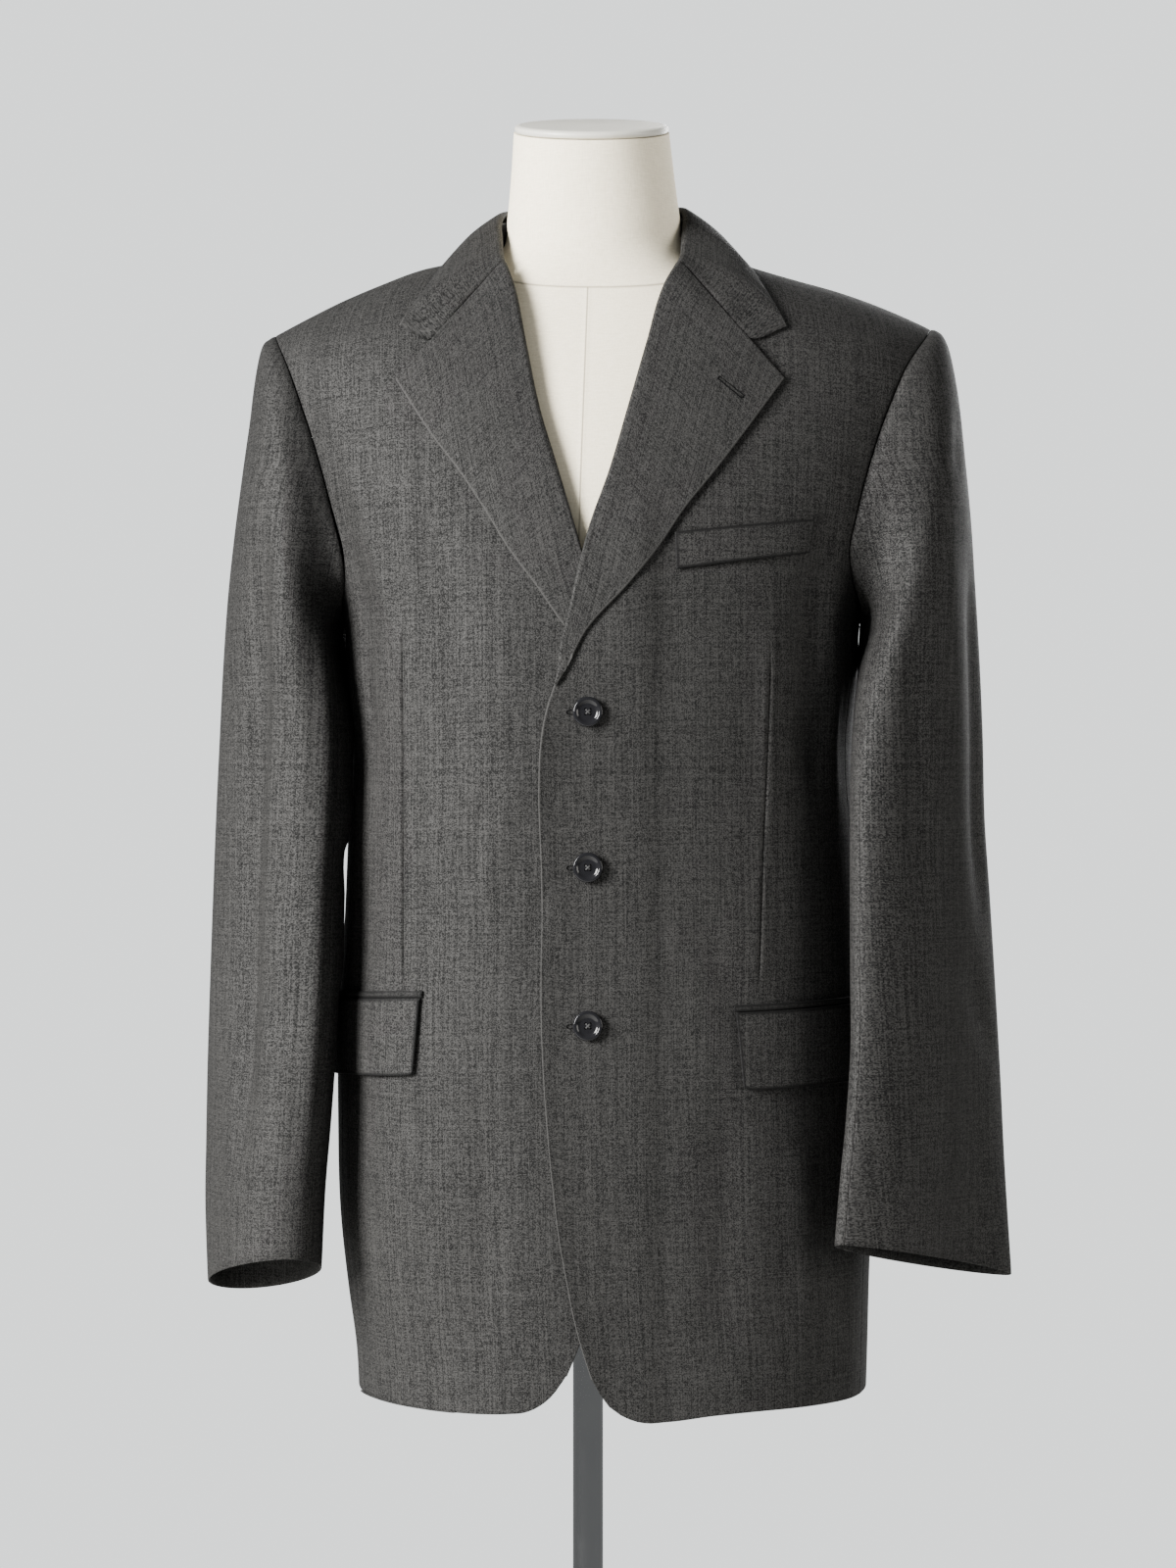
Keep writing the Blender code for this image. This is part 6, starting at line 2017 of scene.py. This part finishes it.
def slub_group() -> bpy.types.NodeTree:
    """Crossed yarns, each with its own run of thick and thin: their lightness and height."""
    tree, nodes, start, end = new_group(
        "crossed_slub_yarns",
        [("Cloth", "NodeSocketVector", None), ("Yarns per metre", "NodeSocketFloat", 1500.0),
         ("Slubs per metre", "NodeSocketFloat", 30.0), ("Grain", "NodeSocketFloat", 0.3)],
        [("Lightness", "NodeSocketFloat"), ("Height", "NodeSocketFloat")])
    place = nodes.add("ShaderNodeSeparateXYZ", {"Vector": start["Cloth"]}).outputs
    tones, heights, yarns = [], [], []
    for number, (over, along, often, share) in enumerate((("X", "Y", 1.0, 0.58),
                                                          ("Y", "X", 2.6, 0.42))):
        wander = nodes.noise(start["Cloth"], 9.0, 1.0)
        moved = nodes.math("ADD", place[over], nodes.math("MULTIPLY", wander, 0.0012))
        across = nodes.math("MULTIPLY", moved, start["Yarns per metre"])
        yarn = nodes.math("FLOOR", nodes.math("ADD", across, 5000.0 + 700 * number))
        yarns.append(yarn)
        own = nodes.add("ShaderNodeTexWhiteNoise", {"W": yarn}, noise_dimensions="1D")
        run = nodes.math("MULTIPLY", place[along],
                         nodes.math("MULTIPLY", start["Slubs per metre"], often))
        spot = nodes.add("ShaderNodeCombineXYZ", {
            "X": nodes.math("ADD", run, nodes.math("MULTIPLY", own.outputs["Value"], 900.0)),
            "Y": nodes.math("MULTIPLY", own.outputs["Value"], 370.0)}).outputs[0]
        slub = nodes.noise(spot, 1.0, 2.0, 0.6, "2D")
        steady = nodes.math("MULTIPLY", nodes.math("SUBTRACT", own.outputs["Value"], 0.5), 0.30)
        tones.append(nodes.math("MULTIPLY", nodes.math("ADD", slub, steady), share))
        heights.append(nodes.noise(spot, 3.0, 1.0, 0.5, "2D"))
    crossing = nodes.add("ShaderNodeCombineXYZ", {"X": yarns[0], "Y": yarns[1]}).outputs[0]
    knot = nodes.add("ShaderNodeTexWhiteNoise", {"Vector": crossing}, noise_dimensions="2D")
    grain = nodes.math("MULTIPLY", nodes.math("SUBTRACT", knot.outputs["Value"], 0.5),
                       start["Grain"])
    both = nodes.math("ADD", nodes.math("ADD", tones[0], tones[1]), grain)
    tree.links.new(both, end["Lightness"])
    tree.links.new(nodes.math("MAXIMUM", heights[0], heights[1]), end["Height"])
    return tree


def seam_group() -> bpy.types.NodeTree:
    """Sewn line at a plane: a thin dark mark and a groove between two soft swellings."""
    tree, nodes, start, end = new_group(
        "sewn_line",
        [("Distance", "NodeSocketFloat", 0.0), ("Width", "NodeSocketFloat", 0.0007)],
        [("Mark", "NodeSocketFloat"), ("Height", "NodeSocketFloat")])
    away = nodes.math("DIVIDE", nodes.math("ABSOLUTE", start["Distance"]), start["Width"])
    square = nodes.math("MULTIPLY", away, away)
    mark = nodes.bell(square)
    swelling = nodes.math("POWER", math.e, nodes.math("MULTIPLY", square, -0.08))
    tree.links.new(mark, end["Mark"])
    tree.links.new(nodes.math("SUBTRACT", swelling, nodes.math("MULTIPLY", mark, 1.6)),
                   end["Height"])
    return tree


def base_material(name: str) -> tuple[bpy.types.Material, Nodes, bpy.types.Node]:
    """New material with its node helper and its Principled shader."""
    material = bpy.data.materials.new(name)
    material.use_nodes = True
    nodes = Nodes(material.node_tree)
    return material, nodes, material.node_tree.nodes["Principled BSDF"]


@dataclass(frozen=True)
class Worsted:
    """Fine dark worsted with uneven light yarns both ways, with a painted highlight along stitched
    edges and a painted shadow along the edges of the pocket pieces.
    """

    name: str = "worsted"
    dark: Colour = (0.0020, 0.0020, 0.0020, 1.0)
    light: Colour = (0.0270, 0.0264, 0.0256, 1.0)
    yarns: float = 1600.0
    slubs: float = 24.0
    grain: float = 0.66
    tones: tuple[float, float] = (0.21, 0.83)
    cloud_size: float = 7.0
    cloud_share: float = 0.30
    # range and strength of the painted highlight that lightens stitched edges, standing in for the
    # light caught by their rounded rims
    worn_edge: tuple[float, float] = (0.0017, 0.0004)
    worn_share: float = 0.9
    # range and strength of the painted shadow along the edges of the pocket pieces
    pressed_edge: tuple[float, float] = (0.0027, 0.0011)
    pressed_share: float = 0.96
    roughness: tuple[float, float] = (0.85, 0.66)
    specular: float = 0.14
    bump: float = 0.22
    bump_depth: float = 0.0004
    stitch_inset: float = 0.005
    stitch_width: float = 0.0009
    stitch_dip: float = 0.9

    def material(self, slub: bpy.types.NodeTree) -> bpy.types.Material:
        """Builds the material."""
        material, nodes, shader = base_material(self.name)
        cloth = nodes.add("ShaderNodeUVMap", uv_map="cloth").outputs[0]
        weave = nodes.add("ShaderNodeGroup", {"Cloth": cloth, "Yarns per metre": self.yarns,
                                              "Slubs per metre": self.slubs,
                                              "Grain": self.grain}, node_tree=slub).outputs
        cloud = nodes.math("SUBTRACT", nodes.noise(nodes.place(), self.cloud_size, 3.0), 0.5)
        share = nodes.math("ADD", nodes.ranged(weave["Lightness"], *self.tones),
                           nodes.math("MULTIPLY", cloud, self.cloud_share), clamp=True)
        edge = nodes.mark("edge")
        # Painted highlight: the colour is lightened along stitched edges, where the rounded rim
        # catches light.
        worn = nodes.math("MULTIPLY", nodes.ranged(edge, *self.worn_edge), self.worn_share)
        share = nodes.math("ADD", share, worn, clamp=True)
        # Painted shadow: the colour is pulled to the dark yarn along edges with the shadow
        # attribute.
        painted_shadow_mask = nodes.ranged(nodes.mark("pressed"), *self.pressed_edge, high=self.pressed_share)
        away = nodes.math("DIVIDE", nodes.math("SUBTRACT", edge, self.stitch_inset),
                          self.stitch_width)
        row = nodes.bell(nodes.math("MULTIPLY", away, away))
        height = nodes.math("SUBTRACT", weave["Height"],
                            nodes.math("MULTIPLY", row, self.stitch_dip))
        colour = nodes.mix(painted_shadow_mask, nodes.mix(share, self.dark, self.light), self.dark)
        nodes.feed(shader, {"Base Color": colour,
                            "Roughness": nodes.ranged(weave["Lightness"], 0.3, 0.7,
                                                      *self.roughness),
                            "Normal": nodes.bump(height, self.bump, self.bump_depth),
                            "Specular IOR Level": self.specular})
        return material


@dataclass(frozen=True)
class Linen:
    """Cream linen stretched over the form, with a neck seam and a centre front seam."""

    name: str = "form_linen"
    pale: Colour = (0.82, 0.745, 0.585, 1.0)
    deep: Colour = (0.66, 0.590, 0.440, 1.0)
    line: Colour = (0.22, 0.19, 0.14, 1.0)
    neck_seam: tuple[float, float] = (1.5040, 0.49)
    front_seam: tuple[float, float] = (1.469, 0.0353)
    seam_width: float = 0.00055

    def material(self, seam: bpy.types.NodeTree) -> bpy.types.Material:
        """Builds the material."""
        material, nodes, shader = base_material(self.name)
        place = nodes.place()
        spot = nodes.add("ShaderNodeSeparateXYZ", {"Vector": place}).outputs
        height, tilt = self.neck_seam
        neck = nodes.math("SUBTRACT", nodes.math("SUBTRACT", spot["Z"], height),
                          nodes.math("MULTIPLY", spot["Y"], tilt))
        below = nodes.ranged(neck, 0.0005, -0.0005)
        ahead = nodes.ranged(spot["Y"], 0.0, -0.004)
        height, lean = self.front_seam
        aside = nodes.math("MULTIPLY", nodes.math("SUBTRACT", spot["Z"], height), lean)
        middle = nodes.math("SUBTRACT", spot["X"], aside)
        marks, heights = [], []
        for distance, share in ((neck, 1.0), (middle, nodes.math("MULTIPLY", below, ahead))):
            sewn = nodes.add("ShaderNodeGroup", {"Distance": distance, "Width": self.seam_width},
                             node_tree=seam).outputs
            marks.append(nodes.math("MULTIPLY", sewn["Mark"], share))
            heights.append(nodes.math("MULTIPLY", sewn["Height"], share))
        warp = nodes.noise(nodes.stretched(place, (1500.0, 1500.0, 170.0)), 1.0, 1.5)
        weft = nodes.noise(nodes.stretched(place, (160.0, 160.0, 1600.0)), 1.0, 1.5)
        weave = nodes.math("MULTIPLY", nodes.math("ADD", warp, weft), 0.5)
        cloth = nodes.mix(nodes.math("MULTIPLY", nodes.ranged(weave, 0.66, 0.36), 0.8), self.pale,
                          self.deep)
        sewn_mark = nodes.math("MULTIPLY", nodes.math("ADD", *marks, clamp=True), 0.75)
        height = nodes.math("ADD", nodes.math("MULTIPLY", weave, 0.5),
                            nodes.math("ADD", *heights))
        nodes.feed(shader, {"Base Color": nodes.mix(sewn_mark, cloth, self.line),
                            "Roughness": nodes.ranged(weave, 0.0, 1.0, 0.95, 0.80),
                            "Normal": nodes.bump(height, 0.35, 0.0006),
                            "Specular IOR Level": 0.2})
        return material


@dataclass(frozen=True)
class Plain:
    """Finish with a soft mottled colour: paint, horn, thread or steel."""

    name: str
    colour: Colour
    other: Colour
    roughness: tuple[float, float]
    metallic: float = 0.0
    scale: float = 40.0
    bump: float = 0.0
    specular: float = 0.5

    def material(self) -> bpy.types.Material:
        """Builds the material."""
        material, nodes, shader = base_material(self.name)
        place = nodes.place()
        mottle = nodes.noise(place, self.scale, 3.0)
        nodes.feed(shader, {"Base Color": nodes.mix(mottle, self.colour, self.other),
                            "Roughness": nodes.ranged(mottle, 0.3, 0.7, *self.roughness),
                            "Metallic": self.metallic, "Specular IOR Level": self.specular})
        if self.bump:
            fine = nodes.noise(place, self.scale * 30, 2.0)
            nodes.feed(shader, {"Normal": nodes.bump(fine, self.bump, 0.0005)})
        return material


PICK_THREAD = Plain("worsted_thread", (0.004, 0.004, 0.004, 1), (0.013, 0.013, 0.013, 1),
                    (0.6, 0.8), scale=3000.0)
BUTTONHOLE_THREAD = Plain("buttonhole_thread", (0.0010, 0.0010, 0.0012, 1),
                          (0.003, 0.003, 0.0035, 1), (0.8, 0.95), scale=3000.0, specular=0.04)
HORN = Plain("black_horn", (0.004, 0.004, 0.005, 1), (0.008, 0.008, 0.009, 1), (0.10, 0.18),
             scale=160.0, specular=0.22)
BUTTON_THREAD = Plain("button_thread", (0.010, 0.010, 0.011, 1), (0.03, 0.03, 0.03, 1),
                      (0.5, 0.7), scale=2000.0)
CAP_PAINT = Plain("cap_paint", (0.52, 0.51, 0.46, 1), (0.48, 0.47, 0.42, 1), (0.30, 0.45),
                  scale=20.0)
STEEL = Plain("polished_steel", (0.34, 0.34, 0.34, 1), (0.29, 0.29, 0.30, 1), (0.05, 0.10),
              metallic=1.0, scale=60.0)
FLOOR = Plain("pale_floor", (0.62, 0.62, 0.60, 1), (0.58, 0.58, 0.56, 1), (0.55, 0.7), scale=3.0,
              bump=0.1)


# ---------------------------------------------------------------- studio
@dataclass
class Studio:
    """Pale floor, pale world, soft lights and the camera."""

    camera_height: float = 1.131
    camera_distance: float = 2.34
    focal: float = 3385.0
    frame_height: float = 1600.0
    sensor: float = 36.0
    room_light: float = 0.33
    room_seen: float = 1.55
    lit_height: float = 1.15

    def build(self) -> None:
        """Makes the camera, the lights, the world and the floor."""
        data = bpy.data.cameras.new("view")
        data.sensor_width = self.sensor
        data.lens = self.focal / self.frame_height * self.sensor
        camera = new_object("view", data)
        camera.location = (0.0, -self.camera_distance, self.camera_height)
        camera.rotation_euler = (math.pi / 2, 0.0, 0.0)
        bpy.context.scene.camera = camera
        self.light("window", (-2.50, -1.90, 2.15), (1.2, 1.7), 660.0, (1.0, 0.99, 0.97))
        self.light("fill", (2.9, -0.9, 1.5), (1.4, 1.8), 70.0, (1.0, 0.97, 0.92))
        self.light("back_fill", (1.3, 3.1, 2.3), (2.2, 2.2), 150.0, (1.0, 1.0, 1.0))
        self.world()
        self.floor()

    def world(self) -> None:
        """Plain pale room: seen bright, and dimmer as the light in which the coat hangs."""
        world = bpy.data.worlds.new("pale_room")
        bpy.context.scene.world = world
        world.use_nodes = True
        nodes = Nodes(world.node_tree)
        glow = world.node_tree.nodes["Background"]
        glow.inputs["Color"].default_value = (0.97, 1.0, 1.0, 1.0)
        ray = nodes.add("ShaderNodeLightPath")
        nodes.feed(glow, {"Strength": nodes.ranged(ray.outputs["Is Camera Ray"], 0.0, 1.0,
                                                   self.room_light, self.room_seen)})

    def light(self, name: str, place: tuple[float, float, float], size: tuple[float, float],
              power: float, colour: tuple[float, float, float]) -> None:
        """One soft rectangular light, turned towards the coat."""
        data = bpy.data.lights.new(name, "AREA")
        data.shape, data.size, data.size_y = "RECTANGLE", size[0], size[1]
        data.energy, data.color = power, colour
        lamp = new_object(name, data)
        lamp.location = place
        way = Vector((0, 0, self.lit_height)) - Vector(place)
        lamp.rotation_euler = way.to_track_quat("-Z", "Y").to_euler()

    def floor(self, radius: float = 2.1, thick: float = 0.02) -> None:
        """Round pale floor."""
        profile = np.array([(0, 0), (radius, 0), (radius, -thick), (0, -thick)])
        new_piece("floor", turned_mesh("floor", profile, 96), FLOOR.material())


def declare(piece: bpy.types.Object, nodes: Sequence[str]) -> None:
    """Says which solids a piece stands for and that it rides the root."""
    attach(piece, ROOT)
    if nodes:
        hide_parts(*nodes)
    LOG.info("%s: %d faces", piece.name, len(piece.data.polygons))


def sew(sewing: Sewing, fronts: dict[Side, Front], lapels: dict[Side, Lapel], collar: Collar,
        pockets: Pockets) -> None:
    """Adds the pick stitches and the buttonholes."""
    inset, lift = 0.005, -0.00004
    pick = {"Spacing": 0.0040, "Length": 0.0011, "Thickness": 0.00034, "Turn": 0.0, "Uneven": 0.3}
    for side, front in fronts.items():
        edge = front.made.inset_line("s", inset, lift)
        edge = edge[edge[:, 2] < 1.19]
        piece = sewing.row(f"edge_stitches_{side.word}", [edge], sewing.thread, **pick)
        declare(piece, [])
        edge = lapels[side].grids[0].inset_line("e", inset, lift)
        piece = sewing.row(f"lapel_stitches_{side.word}", [edge], sewing.thread, **pick)
        declare(piece, [])
    edge = collar.grids[0].inset_line("e", inset, lift)
    declare(sewing.row("collar_stitches", [edge], sewing.thread, **pick), [])
    flaps = [pockets.grids[0], pockets.grids[2]]
    lines = [grid.inset_line("d", inset, lift) for grid in flaps]
    declare(sewing.row("flap_stitches", lines, sewing.thread, **pick), [])
    front = fronts[Side.LEFT].made
    for number, height in enumerate(BUTTON_HEIGHTS, start=1):
        hole = sewing.buttonhole(f"buttonhole_{number}", front, (0.0085, height),
                                 (-0.0128, height - 0.0004))
        declare(hole, [])
    hole = sewing.buttonhole("lapel_buttonhole", lapels[Side.LEFT].grids[0], (0.0880, 1.4055),
                             (0.1035, 1.3925))
    declare(hole, [])


def hang(piece: bpy.types.Object, node: str) -> None:
    """Declares one cut piece of cloth.

    Args:
        piece: The finished piece.
        node: The solid that it replaces.
    """
    declare(piece, [node])


def build_form(form: DressForm) -> None:
    """Builds the dress form, its cap and its stand."""
    declare(form.torso(), ["dress_form"])
    declare(form.cap(), ["neck_cap"])
    base, pole = form.foot()
    declare(base, ["base"])
    declare(pole, ["pole"])


def main() -> None:
    """Builds the studio, the form and the coat."""
    logging.basicConfig(level=logging.INFO, format="%(message)s")
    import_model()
    cloth = Worsted().material(slub_group())
    sewing = Sewing(stitch_tree(), PICK_THREAD.material(), BUTTONHOLE_THREAD.material())
    horn, thread = HORN.material(), BUTTON_THREAD.material()
    form = DressForm(Linen().material(seam_group()), CAP_PAINT.material(), STEEL.material())
    Studio().build()
    build_form(form)
    body = WornBody(fine=BODY_CREASES)
    fronts = {side: Front(body, side, cloth) for side in Side}
    fronts[Side.RIGHT].dart_depth = 0.0019
    fronts[Side.RIGHT].dart_top = (0.1254, 1.2320)
    fronts[Side.RIGHT].dart_foot = (0.1240, 0.9960)
    lapels: dict[Side, Lapel] = {}
    for side, front in fronts.items():
        hang(front.build(), f"front_{side.front}")
        hang(SideBody(body, side, cloth).build(), f"side_{side.word}")
        hang(Back(body, side, cloth).build(), f"back_{side.word}")
        lapels[side] = Lapel(body, fronts, cloth, side=side)
        hang(lapels[side].build(), f"lapel_{side.front}")
        creases = LEFT_SLEEVE_CREASES if side is Side.LEFT else RIGHT_SLEEVE_CREASES
        sleeve = Sleeve(body, side, cloth, creases)
        for piece, part in zip(sleeve.build(), ("upper", "under")):
            hang(piece, f"sleeve_{part}_{side.word}")
    collar = Collar(body, fronts, cloth)
    for piece, node in zip(collar.build(), ("collar_fall", "collar_stand")):
        declare(piece, [node])
    pockets = Pockets(body, fronts, cloth)
    for row in POCKETS:
        for piece, part in zip(pockets.hip(row), ("flap", "jet")):
            declare(piece, [f"pocket_{part}_{row.side.word}"])
    piece = pockets.breast()
    declare(piece, ["breast_welt"])
    for piece in Buttons(body, fronts[Side.LEFT], horn, thread).build():
        number = piece.name[-1]
        declare(piece, [f"button_{number}"] if "front" in piece.name else [])
    sew(sewing, fronts, lapels, collar, pockets)


if __name__ == "__main__":
    main()
